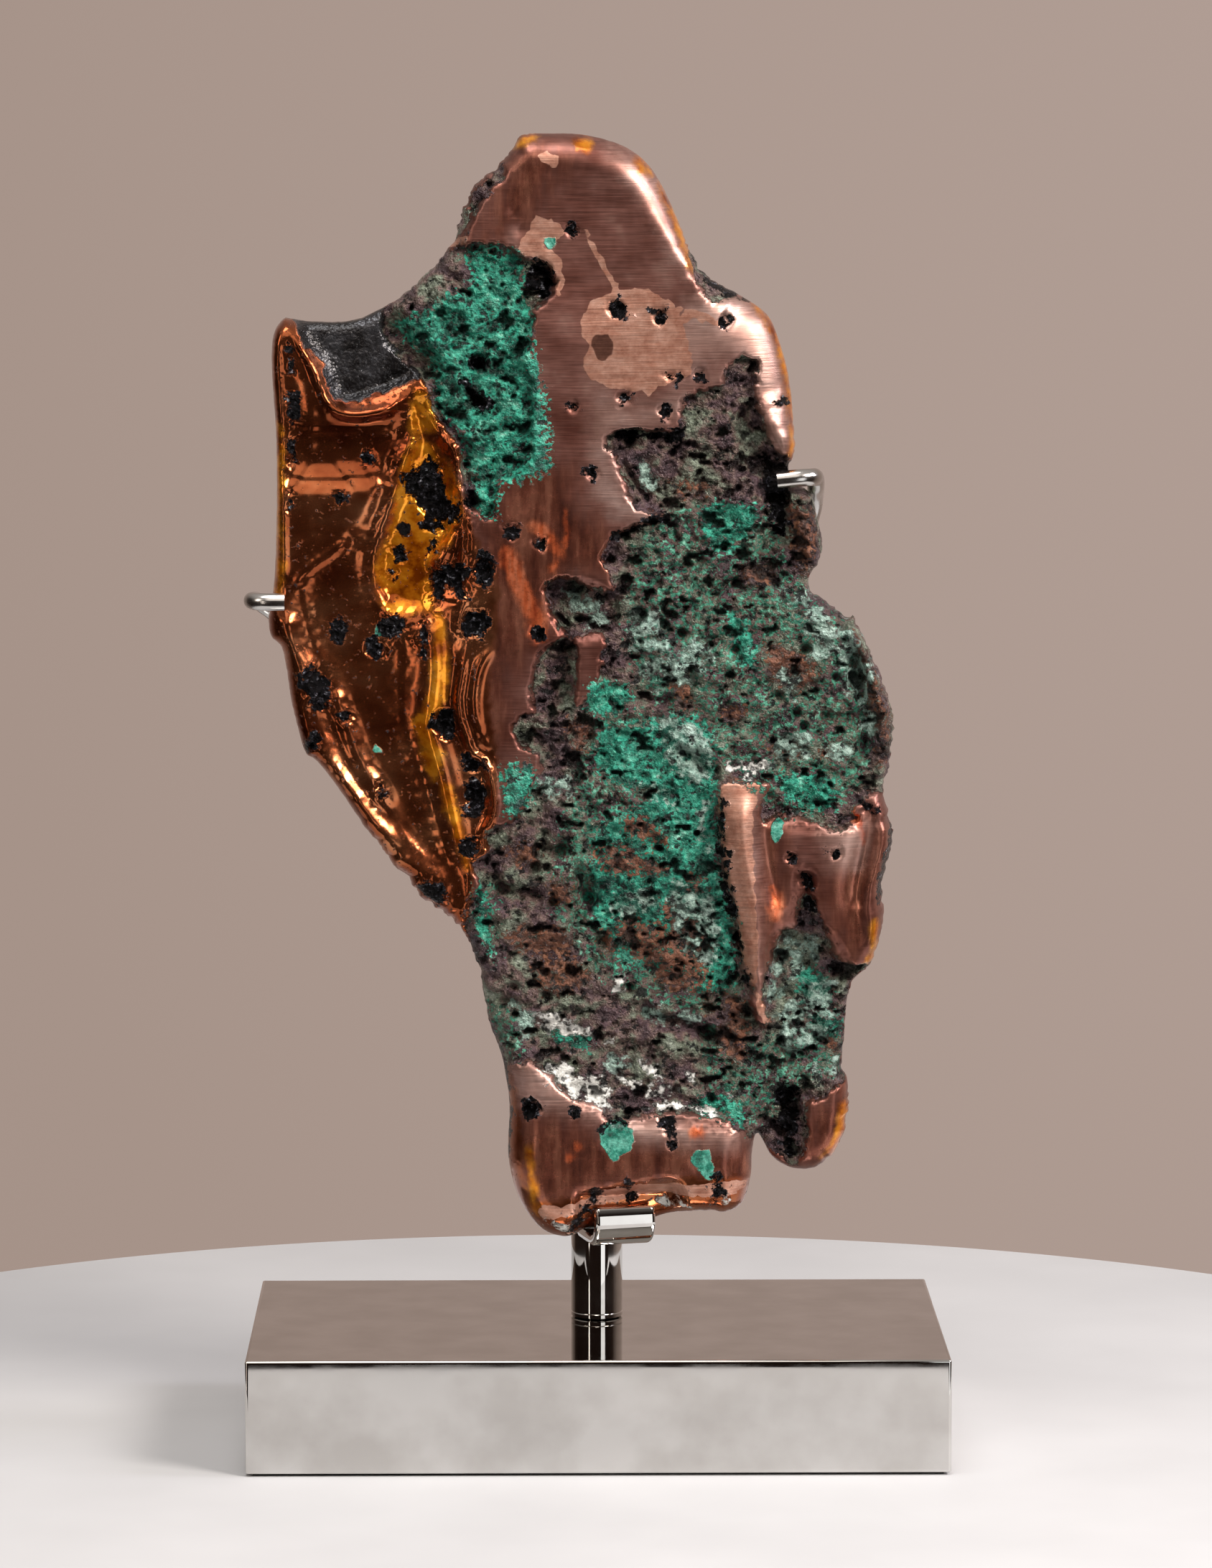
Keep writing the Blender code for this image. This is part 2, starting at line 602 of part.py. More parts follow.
def left_hook_route(nugget):
    """From the tip on the nugget's left rim, round its edge and along its back to the post."""
    side, z = LEFT_HOOK_SIDE_X, LEFT_HOOK_Z
    front = front_leg_y(nugget, LEFT_HOOK_TIP_X + 2, side, z)
    behind = nugget.back(leg_places(LEFT_HOOK_TIP_X, LEFT_HOOK_TIP_X + 4, z - 6)).max()
    behind += ROD_RADIUS + TOUCHING_GAP
    post_side = POST_X - POST_RADIUS - TOUCHING_GAP - 0.1
    return ((LEFT_HOOK_TIP_X, front, z), (side + 6, front, z), (side + 1.8, front + 1.8, z),
            (side, front + 6.5, z), (side, -20, z - 1), (side, behind - 5, z - 2),
            (side + 2.5, behind, z - 4), (side + 10, behind + 3, z - 11),
            (-88, POST_Y - 1, 270), (-50, POST_Y, 238), (post_side - 14, POST_Y, LEFT_ARM_Z + 1),
            (post_side, POST_Y, LEFT_ARM_Z))


def right_hook_route(nugget):
    """From the tip on the nugget's right rim, round behind the knob and along its back to the post."""
    side, z = RIGHT_HOOK_SIDE_X, RIGHT_HOOK_Z
    front = front_leg_y(nugget, RIGHT_HOOK_TIP_X - 2, side, z)
    post_side = POST_X + POST_RADIUS + TOUCHING_GAP + 0.1
    return ((RIGHT_HOOK_TIP_X, front, z), (side - 6, front, z + 0.8), (side - 1.8, front + 1.8, z + 0.9),
            (side, front + 6.5, z + 0.6), (side + 0.6, -18, z - 2.5), (side + 0.8, -7, z - 7),
            (side, -0.5, z - 14), (74, 3, 327), (55, POST_Y - 1, 292), (30, POST_Y, 256),
            (post_side + 10, POST_Y, RIGHT_ARM_Z + 1), (post_side, POST_Y, RIGHT_ARM_Z))


def add_rod(name, route, collection, finish):
    """A round rod along a route, as a capped curve made into a mesh."""
    points, _ = evenly_spaced(smooth_route(route), ROD_STEP)
    curve = bpy.data.curves.new(name, "CURVE")
    curve.dimensions = "3D"
    curve.bevel_depth = ROD_RADIUS * MM
    curve.bevel_resolution = 3
    curve.use_fill_caps = True
    spline = curve.splines.new("POLY")
    spline.points.add(len(points) - 1)
    for point, place in zip(spline.points, points):
        point.co = (*(place * MM), 1)
    guide = bpy.data.objects.new(name + "_route", curve)
    collection.objects.link(guide)
    graph = bpy.context.evaluated_depsgraph_get()
    data = bpy.data.meshes.new_from_object(guide.evaluated_get(graph))
    bpy.data.objects.remove(guide)
    mesh = bmesh.new()
    mesh.from_mesh(data)
    bmesh.ops.remove_doubles(mesh, verts=mesh.verts, dist=1e-5)
    bmesh.ops.recalc_face_normals(mesh, faces=mesh.faces)
    rod = add_object(name, mesh, finish, collection)
    rod.data.shade_smooth()
    rod.data.set_sharp_from_angle(angle=math.radians(60))


def clear_scene():
    """Removes whatever the scene holds."""
    for item in list(bpy.data.objects):
        bpy.data.objects.remove(item)


def main():
    """Builds every piece in a collection named for the object."""
    clear_scene()
    collection = bpy.data.collections.new("native_copper_nugget")
    bpy.context.scene.collection.children.link(collection)
    steel = material("polished_steel", (0.62, 0.60, 0.58), 1.0, 0.08)
    felt = material("black_felt", (0.02, 0.02, 0.02), 0.0, 0.95)
    copper = material("native_copper", (0.42, 0.20, 0.12), 0.9, 0.35)
    nugget = Nugget()
    add_felt_pad(collection, felt)
    add_base_block(collection, steel)
    add_post(collection, steel)
    add_saddle(collection, steel)
    add_rod("left_prong", left_hook_route(nugget), collection, steel)
    add_rod("right_prong", right_hook_route(nugget), collection, steel)
    piece = add_object("copper_nugget", nugget.build(), copper, collection)
    piece.data.shade_smooth()
    piece.data.set_sharp_from_angle(angle=math.radians(45))


main()
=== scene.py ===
"""Native copper nugget on a polished steel stand: the pieces as they look.

Sizes are millimetres until MM turns them into metres. +Z is up, the nugget's show side faces -Y, and
the origin is the middle of the felt pad's underside.
"""

import logging
import math
from dataclasses import dataclass, field
from enum import Enum
from typing import Any

import bmesh
import bpy
import numpy as np
from mathutils import Euler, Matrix, Vector, kdtree, noise
from mathutils.geometry import delaunay_2d_cdt

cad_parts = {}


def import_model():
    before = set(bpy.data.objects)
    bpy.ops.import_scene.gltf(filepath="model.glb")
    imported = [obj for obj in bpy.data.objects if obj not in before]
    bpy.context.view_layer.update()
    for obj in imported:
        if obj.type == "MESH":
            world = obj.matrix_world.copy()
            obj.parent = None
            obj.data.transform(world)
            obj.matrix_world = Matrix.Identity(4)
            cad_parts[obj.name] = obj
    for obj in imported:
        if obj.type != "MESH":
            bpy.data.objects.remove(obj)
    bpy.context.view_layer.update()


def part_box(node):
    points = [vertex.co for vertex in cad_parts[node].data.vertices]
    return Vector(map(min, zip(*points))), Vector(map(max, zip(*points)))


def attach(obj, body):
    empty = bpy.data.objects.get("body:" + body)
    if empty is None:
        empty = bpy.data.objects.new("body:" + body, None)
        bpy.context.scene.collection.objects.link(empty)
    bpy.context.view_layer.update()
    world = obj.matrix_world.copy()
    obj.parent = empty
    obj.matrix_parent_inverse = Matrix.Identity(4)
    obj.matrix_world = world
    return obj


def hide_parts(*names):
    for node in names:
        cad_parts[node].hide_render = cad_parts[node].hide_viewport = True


LOG = logging.getLogger("copper_nugget")
MM = 0.001
Array = np.ndarray
Points = tuple[tuple[float, float], ...]


class Skin(Enum):
    """The kinds of surface on the nugget: each one's attribute, and how softly it ends in mm."""

    CRUST = ("skin_crust", 3.0)
    PLATE = ("skin_plate", 1.6)
    FILM = ("skin_film", 9.0)
    # Scuffed copper, and painted highlight and reflection.
    SCUFF_AND_PAINTED_SHEEN = ("skin_scuff_and_painted_sheen", 7.0)
    HAMMERED = ("skin_hammered", 2.0)
    MIRROR = ("skin_mirror", 3.0)
    # Amber tarnish, and painted edge highlight.
    AMBER_AND_EDGE_HIGHLIGHT = ("skin_amber_and_edge_highlight", 2.6)
    # Scraped copper, and painted reflection.
    FRESH_AND_REFLECTION = ("skin_fresh_and_reflection", 0.9)
    STALE = ("skin_stale", 1.0)
    BURNT = ("skin_burnt", 2.5)
    GREEN = ("skin_green", 4.5)
    PALE = ("skin_pale", 3.5)
    # White mineral, and painted glare and glints.
    WHITE = ("skin_white_and_glare", 4.0)
    RUST = ("skin_rust", 4.5)
    HAZE = ("skin_haze", 5.0)
    CHIP = ("skin_chip", 1.2)
    # Black oxide, and painted shadow and shade.
    DARK = ("skin_dark_and_shadow", 2.6)

    @property
    def attribute(self) -> str:
        """Name of the mesh attribute that holds this skin's cover."""
        return self.value[0]

    @property
    def edge(self) -> float:
        """How far either side of its outline the skin fades."""
        return self.value[1]


@dataclass(frozen=True)
class Stretch:
    """A length of the nugget's outline, clockwise from the front, with its edge rounding."""

    name: str
    rounding: float
    rough: float
    points: Points


@dataclass(frozen=True)
class Zone:
    """A patch of one skin on the show side."""

    skin: Skin
    name: str
    points: Points


@dataclass(frozen=True)
class Form:
    """A patch that stands proud (+) or is sunk (-), with a soft border."""

    name: str
    height: float
    border: float
    points: Points


@dataclass(frozen=True)
class Ridge:
    """A ridge (+) or a groove (-) along a route."""

    name: str
    height: float
    width: float
    points: Points


RIM = (
    Stretch("crown", 11, 0.1, ((-27, 479.5), (-17.5, 480), (-4.5, 479.5), (8.5, 476), (17.5, 470),
        (24, 460.5), (30, 447.5), (35, 436))),
    Stretch("shoulder_notch", 5, 1, ((39.5, 429.5), (45.5, 425.5), (52.5, 421.5))),
    Stretch("right_shoulder", 19, 0.1, ((61.5, 415), (66, 405.5), (69.5, 392.5), (71.5, 375.5), (72, 365),
        (70, 361))),
    Stretch("hook_notch", 5, 0.6, ((69.5, 358.5), (70.5, 355))),
    Stretch("knob", 6, 0.5, ((73.5, 353), (77, 351), (79, 346.5), (80, 341.5), (81.5, 336), (82, 331),
        (80.5, 324.5), (77.5, 320.5))),
    Stretch("upper_right", 5, 1, ((77.5, 315.5), (80, 313.5), (86, 309.5), (90.5, 305.5), (93.5, 306),
        (96, 300.5), (100.5, 291.5), (105.5, 278.5), (108, 270), (108.5, 263), (107, 251.5), (105, 244))),
    Stretch("right_patch", 6, 0.5, ((107, 232.5), (108.5, 225.5), (106.5, 217), (104.5, 208.5), (105, 198),
        (103.5, 188), (100, 178))),
    Stretch("lower_right", 6, 0.9, ((94, 172), (91.5, 162), (90.5, 149), (90, 141))),
    Stretch("toe", 12, 0.1, ((92.5, 133), (92, 120), (87, 108.5), (80.5, 103), (72, 102.5), (64.5, 106.5),
        (61, 112.5))),
    Stretch("cleft", 4, 0.6, ((58.5, 115.5),)),
    Stretch("flange", 12, 0.1, ((57, 108.5), (56.5, 99.5), (53.5, 90), (47, 86.5), (40.5, 87), (31.5, 86.5),
        (24, 85), (14, 81.5), (5, 80.8), (-3, 80.8), (-7.5, 78.5), (-12.5, 77.5), (-20, 80), (-26.5, 87.5),
        (-30.5, 97))),
    Stretch("flange_side", 6, 0.5, ((-32.5, 108.5), (-32, 126), (-33.5, 137.5))),
    Stretch("lower_left", 6, 1, ((-35, 145), (-39, 155), (-41, 165), (-43, 175.5), (-45, 181.5),
        (-47, 186))),
    Stretch("fold_edge", 5, 0.2, ((-49.5, 191), (-57, 197.5), (-66, 204.5), (-69, 210), (-74.5, 215),
        (-79.5, 222.5), (-84.5, 228.5), (-90, 237), (-97, 247), (-102.5, 253.5), (-106, 256), (-108.5, 264),
        (-111, 274.5))),
    Stretch("left_edge", 4, 0.1, ((-112.5, 284.5), (-114.5, 294.5), (-118.5, 299), (-119, 307.5),
        (-117, 319), (-116, 344.5), (-116, 370), (-117, 387), (-117.5, 399.5), (-116.5, 408.5),
        (-113, 413.5))),
    Stretch("hollow_edge", 5, 0.2, ((-110, 413.5), (-102, 412.5), (-88, 413))),
    Stretch("upper_left", 6, 1, ((-76.5, 418), (-68, 424), (-58, 433.5), (-52.5, 441), (-49.5, 450.5),
        (-45, 460.5), (-36.5, 468), (-30.5, 474.5))),
)

ZONES = (
    Zone(Skin.CRUST, "knob_top", ((67, 361.5), (70.5, 361), (77.5, 355), (82, 348), (82.5, 332), (68, 332),
        (64.5, 348))),
    Zone(Skin.CRUST, "left_side", ((-34, 468.5), (-39, 463.5), (-43, 461), (-46.5, 453.5), (-50.5, 449.5),
        (-52.5, 442), (-49.5, 443.5), (-45.5, 449), (-42, 454.5), (-36.5, 462), (-34, 465.5))),
    Zone(Skin.CRUST, "right_side", ((33.5, 438), (39.5, 431), (46, 425.5), (55, 420), (48.5, 421),
        (42, 421), (37.5, 424.5), (35, 431))),
    Zone(Skin.CRUST, "upper", ((-59.5, 437.5), (-53, 438), (-46.5, 440.5), (-39, 440.5), (-31.5, 439),
        (-25, 434.5), (-19.5, 434.5), (-15.5, 428), (-16.5, 422), (-23, 416), (-23.5, 407), (-26.5, 399.5),
        (-24, 389), (-23.5, 373.5), (-25, 361), (-34, 356), (-44.5, 350.5), (-48, 358), (-49.5, 368.5),
        (-56.5, 376), (-60.5, 384), (-60, 389.5), (-70, 399.5), (-76, 407), (-77.5, 415), (-70, 424))),
    Zone(Skin.CRUST, "tail", ((-45.5, 361), (-36.5, 359.5), (-37, 348), (-38, 342), (-44.5, 345),
        (-47.5, 350.5), (-48, 357))),
    Zone(Skin.CRUST, "upper_right", ((51, 400), (57, 398.5), (56.5, 388), (59.5, 377.5), (63.5, 366.5),
        (70, 362), (69, 348), (82.5, 346.5), (82.5, 320.5), (77, 320.5), (93, 307.5), (108.5, 269.5),
        (106.5, 251.5), (105.5, 243), (98.5, 242), (92.5, 235), (94.5, 233), (85.5, 229), (79, 232),
        (68.5, 233.5), (61.5, 231.5), (59, 236), (63, 245), (59.5, 247), (44.5, 246), (44.5, 232),
        (46, 214.5), (49, 205), (51.5, 191), (53, 178), (56.5, 171.5), (55.5, 166), (59.5, 157.5),
        (64, 158.5), (60.5, 165.5), (60.5, 172), (65, 186.5), (69, 192), (72.5, 194), (73, 201),
        (74.5, 206), (77.5, 205.5), (79.5, 199), (82, 194), (84.5, 186.5), (88.5, 180), (99.5, 179),
        (93.5, 174), (91, 157), (90, 143.5), (92, 138.5), (86, 134.5), (82, 130.5), (76, 128), (76, 114.5),
        (71.5, 104.5), (59.5, 114.5), (56, 116.5), (45.5, 123), (28.5, 125), (5, 123), (1.5, 128.5),
        (-7, 130.5), (-14, 135.5), (-21.5, 143), (-30.5, 144), (-34.5, 141.5), (-42, 165), (-47.5, 188.5),
        (-47.5, 201.5), (-43, 207.5), (-44.5, 216.5), (-39.5, 220), (-39.5, 228), (-28.5, 234), (-24, 244),
        (-20.5, 255.5), (-26.5, 259.5), (-30.5, 265), (-28, 270.5), (-23.5, 272.5), (-23.5, 280),
        (-22.5, 286), (-19.5, 294), (-13.5, 298), (-8.5, 297.5), (-14, 304.5), (-17, 311.5), (-18.5, 318),
        (-11, 320.5), (-4.5, 317), (5, 315.5), (5.5, 322), (2, 328), (7, 336), (14, 339.5), (23.5, 341.5),
        (24, 344), (17.5, 344.5), (13.5, 347), (10, 355.5), (7, 365), (3, 369.5), (7, 373.5), (21.5, 373.5),
        (30.5, 374.5), (30.5, 383.5), (39.5, 389), (45, 389.5), (46.5, 394.5))),
    Zone(Skin.PLATE, "peninsula", ((-8, 298), (0, 300.5), (3, 298.5), (2, 289.5), (0, 281), (-5, 275),
        (-8, 274), (-8, 283), (-7.5, 292))),
    Zone(Skin.FILM, "right_patch", ((83, 209.5), (93.5, 225.5), (104, 228), (103, 201), (97, 182.5),
        (87, 187))),
    Zone(Skin.FILM, "toe", ((76, 128), (82, 130.5), (89, 137.5), (93.5, 137), (94, 112), (80.5, 104),
        (75, 112))),
    Zone(Skin.FILM, "middle", ((-36.5, 350.5), (-29, 363.5), (-14.5, 363.5), (-5.5, 350.5), (5, 336),
        (7, 322), (-8, 319), (-16, 306.5), (-24, 296), (-33, 275), (-34, 259.5), (-43.5, 254.5),
        (-47.5, 270), (-47, 296), (-47, 322))),
    Zone(Skin.FILM, "crown_left", ((-34, 466), (-28, 475), (-16, 476.5), (-10.5, 470), (-16, 460.5),
        (-22.5, 451), (-32.5, 442), (-42, 442), (-39, 451))),
    Zone(Skin.FILM, "panel_right", ((59, 246.5), (66, 230.5), (68.5, 215), (70, 199), (66, 191),
        (60.5, 175.5), (58.5, 183.5), (61, 199), (59, 217.5), (58.5, 233))),
    Zone(Skin.FILM, "flange", ((-34.5, 117.5), (-16, 125), (5, 119.5), (57, 116), (59.5, 98.5),
        (54.5, 97.5), (12.5, 98), (-3, 94), (-22.5, 88), (-33, 99))),
    Zone(Skin.SCUFF_AND_PAINTED_SHEEN, "patch_middle", ((83, 230.5), (93, 233), (98, 228), (95.5, 217.5), (85.5, 216))),
    # foot_l, foot_m, foot_r: painted reflection of the table on the foot's lower edge.
    Zone(Skin.SCUFF_AND_PAINTED_SHEEN, "foot_l", ((-19, 85), (-8.5, 87), (-2, 88), (-3.5, 82), (-11, 80), (-16.5, 81.5))),
    Zone(Skin.SCUFF_AND_PAINTED_SHEEN, "foot_m", ((17.5, 92), (25.5, 94), (35, 92.5), (40, 89.5), (28.5, 88), (19, 88.5))),
    Zone(Skin.SCUFF_AND_PAINTED_SHEEN, "foot_r", ((44, 93), (52, 95), (53.5, 94), (46.5, 89.5))),
    # shoulder, below_patch, crown_rim: painted highlight on copper that faces the lights.
    Zone(Skin.SCUFF_AND_PAINTED_SHEEN, "shoulder", ((32, 417.5), (43.5, 425), (59.5, 418.5), (68, 404.5), (71, 384),
        (69.5, 363), (62, 367), (58.5, 384), (55, 398), (48.5, 401.5), (37, 398), (28, 394.5),
        (24, 404.5))),
    Zone(Skin.SCUFF_AND_PAINTED_SHEEN, "below_patch", ((1, 384), (12.5, 381.5), (30.5, 384), (19, 376.5), (7.5, 373.5),
        (4, 363.5), (10.5, 346.5), (16.5, 343.5), (8, 344), (-1, 361))),
    Zone(Skin.SCUFF_AND_PAINTED_SHEEN, "crown_rim", ((5, 475), (17.5, 469), (28, 453.5), (34.5, 438), (36, 429), (30, 435.5),
        (22, 451), (12.5, 465))),
    Zone(Skin.SCUFF_AND_PAINTED_SHEEN, "panel", ((45.5, 246), (57, 245), (55.5, 222.5), (57, 194), (58.5, 178), (56, 170.5),
        (51, 191), (46, 217.5))),
    # flange_left, flange_top: painted glare on the flange's upper slope.
    Zone(Skin.SCUFF_AND_PAINTED_SHEEN, "flange_left", ((-30.5, 145), (-18.5, 142.5), (-8.5, 133.5), (5, 126.5), (-13.5, 126),
        (-26.5, 132))),
    Zone(Skin.SCUFF_AND_PAINTED_SHEEN, "flange_top", ((12.5, 122.5), (44, 121), (54.5, 114.5), (33.5, 114.5), (12.5, 117.5))),
    Zone(Skin.HAMMERED, "hollow", ((-110, 415), (-101, 413.5), (-86.5, 414), (-77.5, 418), (-73, 412.5),
        (-70, 401.5), (-62.5, 398), (-60, 394.5), (-65, 391.5), (-71.5, 389), (-81.5, 386), (-90.5, 383.5),
        (-96, 387), (-98.5, 394.5), (-99, 398), (-105, 403.5), (-107.5, 409.5))),
    Zone(Skin.MIRROR, "folds", ((-117, 415.5), (-104.5, 413.5), (-101, 407), (-95.5, 398), (-89.5, 390.5),
        (-75, 392.5), (-60, 395.5), (-60, 384), (-49.5, 368.5), (-49, 353), (-42.5, 332.5), (-36.5, 322),
        (-36.5, 301), (-39.5, 280.5), (-37, 259.5), (-36, 244), (-37, 230.5), (-39.5, 220), (-44.5, 213.5),
        (-46, 191.5), (-50, 191.5), (-70.5, 210), (-112, 259.5), (-122, 301.5), (-121.5, 399.5))),
    Zone(Skin.MIRROR, "flange", ((-37, 138.5), (-31.5, 138.5), (-28.5, 122.5), (-27, 101.5), (-21, 93),
        (-3, 96.5), (12.5, 100.5), (58.5, 102.5), (58.5, 98.5), (54.5, 85.5), (-29.5, 77.5), (-37, 112))),
    # rim: painted highlight line down the left rolled rim.
    Zone(Skin.AMBER_AND_EDGE_HIGHLIGHT, "rim", ((-116, 374), (-113, 374.5), (-112.5, 363.5), (-113.5, 348), (-113, 324.5),
        (-114.5, 314), (-116.5, 314), (-116, 332.5), (-116, 353))),
    Zone(Skin.AMBER_AND_EDGE_HIGHLIGHT, "bowl", ((-65.5, 370.5), (-60, 369), (-53.5, 362), (-49.5, 350.5), (-49.5, 340),
        (-53, 333.5), (-60, 324.5), (-59, 309), (-71.5, 307.5), (-78, 311), (-80.5, 322), (-78.5, 330.5),
        (-75, 339), (-73, 350.5), (-71, 359.5))),
    Zone(Skin.AMBER_AND_EDGE_HIGHLIGHT, "above", ((-66, 388), (-59.5, 386), (-58.5, 374), (-63.5, 372), (-67.5, 373.5))),
    Zone(Skin.AMBER_AND_EDGE_HIGHLIGHT, "streak", ((-58.5, 309), (-54.5, 301), (-53.5, 288), (-55, 274), (-59.5, 270),
        (-59.5, 264), (-56, 257), (-57, 248.5), (-59, 246), (-63, 251), (-63.5, 258), (-67, 268.5),
        (-62.5, 274), (-60, 288))),
    Zone(Skin.AMBER_AND_EDGE_HIGHLIGHT, "tail", ((-57.5, 246.5), (-53, 245), (-48.5, 230.5), (-46, 213.5), (-50, 220),
        (-54.5, 233.5))),
    Zone(Skin.AMBER_AND_EDGE_HIGHLIGHT, "crown_left", ((-29.5, 475), (-27.5, 479), (-22.5, 480), (-22, 478), (-25, 476))),
    Zone(Skin.AMBER_AND_EDGE_HIGHLIGHT, "crown_top", ((-8.5, 477.5), (-5, 478.5), (-2, 476.5), (-3.5, 473.5), (-7, 475))),
    # crown_right, rim_right, shoulder_rim: painted gold highlight along the rounded edge.
    Zone(Skin.AMBER_AND_EDGE_HIGHLIGHT, "crown_right", ((13.5, 472), (17, 470), (19.5, 465), (16, 466.5))),
    Zone(Skin.AMBER_AND_EDGE_HIGHLIGHT, "rim_right", ((22, 461.5), (27, 455), (32, 443), (35, 431.5), (33.5, 431),
        (30.5, 439.5), (26.5, 451), (23.5, 457))),
    Zone(Skin.AMBER_AND_EDGE_HIGHLIGHT, "shoulder_rim", ((56.5, 419), (64.5, 411), (69, 397), (72.5, 373.5), (71.5, 366),
        (69, 363.5), (70, 373.5), (66.5, 397), (62.5, 409.5))),
    Zone(Skin.AMBER_AND_EDGE_HIGHLIGHT, "foot_left", ((-25.5, 112), (-23.5, 112.5), (-22.5, 101.5), (-21.5, 89), (-23.5, 88),
        (-25, 99))),
    Zone(Skin.AMBER_AND_EDGE_HIGHLIGHT, "toe_gold", ((89, 128), (91.5, 128), (91.5, 116), (86, 109), (80.5, 107), (86, 114))),
    Zone(Skin.AMBER_AND_EDGE_HIGHLIGHT, "patch_edge", ((99, 193.5), (102, 196), (101, 182), (95.5, 179), (99, 184.5))),
    # flange_band, flange_band_l: painted reflection of the table on the flange's lower slope.
    Zone(Skin.FRESH_AND_REFLECTION, "flange_band", ((0, 96), (13, 99), (25.5, 99.5), (42.5, 100), (55, 100.5), (53, 96.5),
        (42.5, 95), (25.5, 95), (12, 93), (3.5, 92), (0, 91.5))),
    Zone(Skin.FRESH_AND_REFLECTION, "flange_band_l", ((-21.5, 90.5), (-11, 92), (-1.5, 94.5), (-2.5, 90.5), (-11, 88),
        (-20, 86.5))),
    Zone(Skin.FRESH_AND_REFLECTION, "scratch", ((-5, 445), (-3.5, 445.5), (2, 435.5), (8.5, 424), (7, 423), (0.5, 434))),
    Zone(Skin.FRESH_AND_REFLECTION, "scratch_b", ((29, 416), (37, 414.5), (44.5, 413), (44.5, 411.5), (36, 413),
        (29, 414.5))),
    Zone(Skin.FRESH_AND_REFLECTION, "scratch_c", ((28, 419), (36, 416.5), (43.5, 413.5), (43, 412.5), (35, 415),
        (27.5, 417.5))),
    Zone(Skin.FRESH_AND_REFLECTION, "patch", ((2.5, 422), (7.5, 424), (17, 424.5), (26, 420), (31, 413.5), (33, 404.5),
        (33.5, 394), (26, 391), (20, 388), (18.5, 385), (16.5, 388), (5, 389), (-3.5, 393.5), (-5.5, 398),
        (-2.5, 403.5), (-5, 407), (-5.5, 412), (-3, 419))),
    Zone(Skin.FRESH_AND_REFLECTION, "hook", ((-28, 441), (-24.5, 445.5), (-23, 449.5), (-19.5, 450.5), (-16, 448.5),
        (-11.5, 445), (-14, 442.5), (-19, 440), (-14, 436), (-12, 430.5), (-13, 422), (-15, 424),
        (-14.5, 429), (-17.5, 433.5), (-23, 436), (-27, 437))),
    Zone(Skin.FRESH_AND_REFLECTION, "small", ((-21, 472), (-18.5, 473.5), (-15, 472), (-14, 469.5), (-16, 467),
        (-18.5, 469.5))),
    Zone(Skin.FRESH_AND_REFLECTION, "left", ((-54, 439), (-49.5, 443), (-46.5, 442.5), (-46.5, 440.5), (-50.5, 439.5))),
    Zone(Skin.FRESH_AND_REFLECTION, "panel", ((44.5, 246), (57.5, 247), (58, 241), (56.5, 233), (57, 207), (58.5, 187),
        (57.5, 174), (55.5, 173.5), (52.5, 183.5), (49.5, 204.5), (46, 214.5))),
    Zone(Skin.FRESH_AND_REFLECTION, "panel_tail", ((57, 169.5), (60, 169), (63.5, 158), (60, 159))),
    Zone(Skin.FRESH_AND_REFLECTION, "toe_top", ((63.5, 133), (64.5, 136.5), (68, 137.5), (67, 134.5))),
    Zone(Skin.STALE, "hole", ((-2, 406), (0, 408), (3.5, 408), (6, 404.5), (5, 400.5), (1.5, 399),
        (-0.5, 401))),
    Zone(Skin.BURNT, "patch_swirl", ((88.5, 240.5), (91.5, 239), (97, 233), (98, 225), (96, 223.5),
        (94, 230.5), (89.5, 235.5))),
    Zone(Skin.BURNT, "arc", ((-13, 346.5), (-11, 344.5), (-9.5, 339), (-11, 331), (-14.5, 324),
        (-16.5, 323), (-17, 324.5), (-13.5, 329), (-12.5, 336), (-13, 342.5))),
    Zone(Skin.BURNT, "spot_a", ((35, 120.5), (37.5, 120.5), (39, 118.5), (37.5, 116.5), (35, 116.5),
        (34, 118.5))),
    Zone(Skin.BURNT, "spot_b", ((-8.5, 114.5), (-6, 114.5), (-5.5, 112.5), (-7.5, 111.5), (-9, 112.5))),
    Zone(Skin.BURNT, "spot_c", ((-11, 111), (-8.5, 111), (-8, 109), (-10, 108), (-11.5, 109))),
    Zone(Skin.BURNT, "scrape", ((-35.5, 330), (-32, 332.5), (-28.5, 328), (-26.5, 322), (-20.5, 311),
        (-18, 304.5), (-22, 301.5), (-28.5, 312), (-33, 321), (-35.5, 325.5))),
    Zone(Skin.BURNT, "ring", ((-24.5, 306), (-20.5, 306.5), (-18, 301.5), (-19, 298), (-23, 297),
        (-25, 300))),
    Zone(Skin.BURNT, "strokes", ((-24.5, 340), (-20.5, 341), (-17, 338), (-13.5, 334.5), (-13, 329),
        (-15.5, 327.5), (-18, 332.5), (-21.5, 336))),
    Zone(Skin.BURNT, "by_panel", ((63, 208), (65.5, 207), (67.5, 201), (64.5, 196), (62.5, 201))),
    Zone(Skin.GREEN, "one", ((-48, 439.5), (-28.5, 438), (-25, 425), (-22.5, 415), (-20.5, 399.5),
        (-17, 384), (-16, 368.5), (-17, 358), (-34, 353), (-47, 358), (-49.5, 371), (-58.5, 380),
        (-60, 392), (-62.5, 399.5), (-70, 404.5), (-74, 413.5), (-62, 417.5), (-54.5, 424),
        (-46.5, 426.5))),
    Zone(Skin.GREEN, "teal_patch", ((-56.5, 420), (-50.5, 423), (-43, 421.5), (-42, 416), (-49.5, 413.5),
        (-59.5, 415))),
    Zone(Skin.GREEN, "tail", ((-44.5, 359.5), (-34, 359.5), (-34, 350.5), (-36.5, 341.5), (-43, 342.5),
        (-45.5, 350.5))),
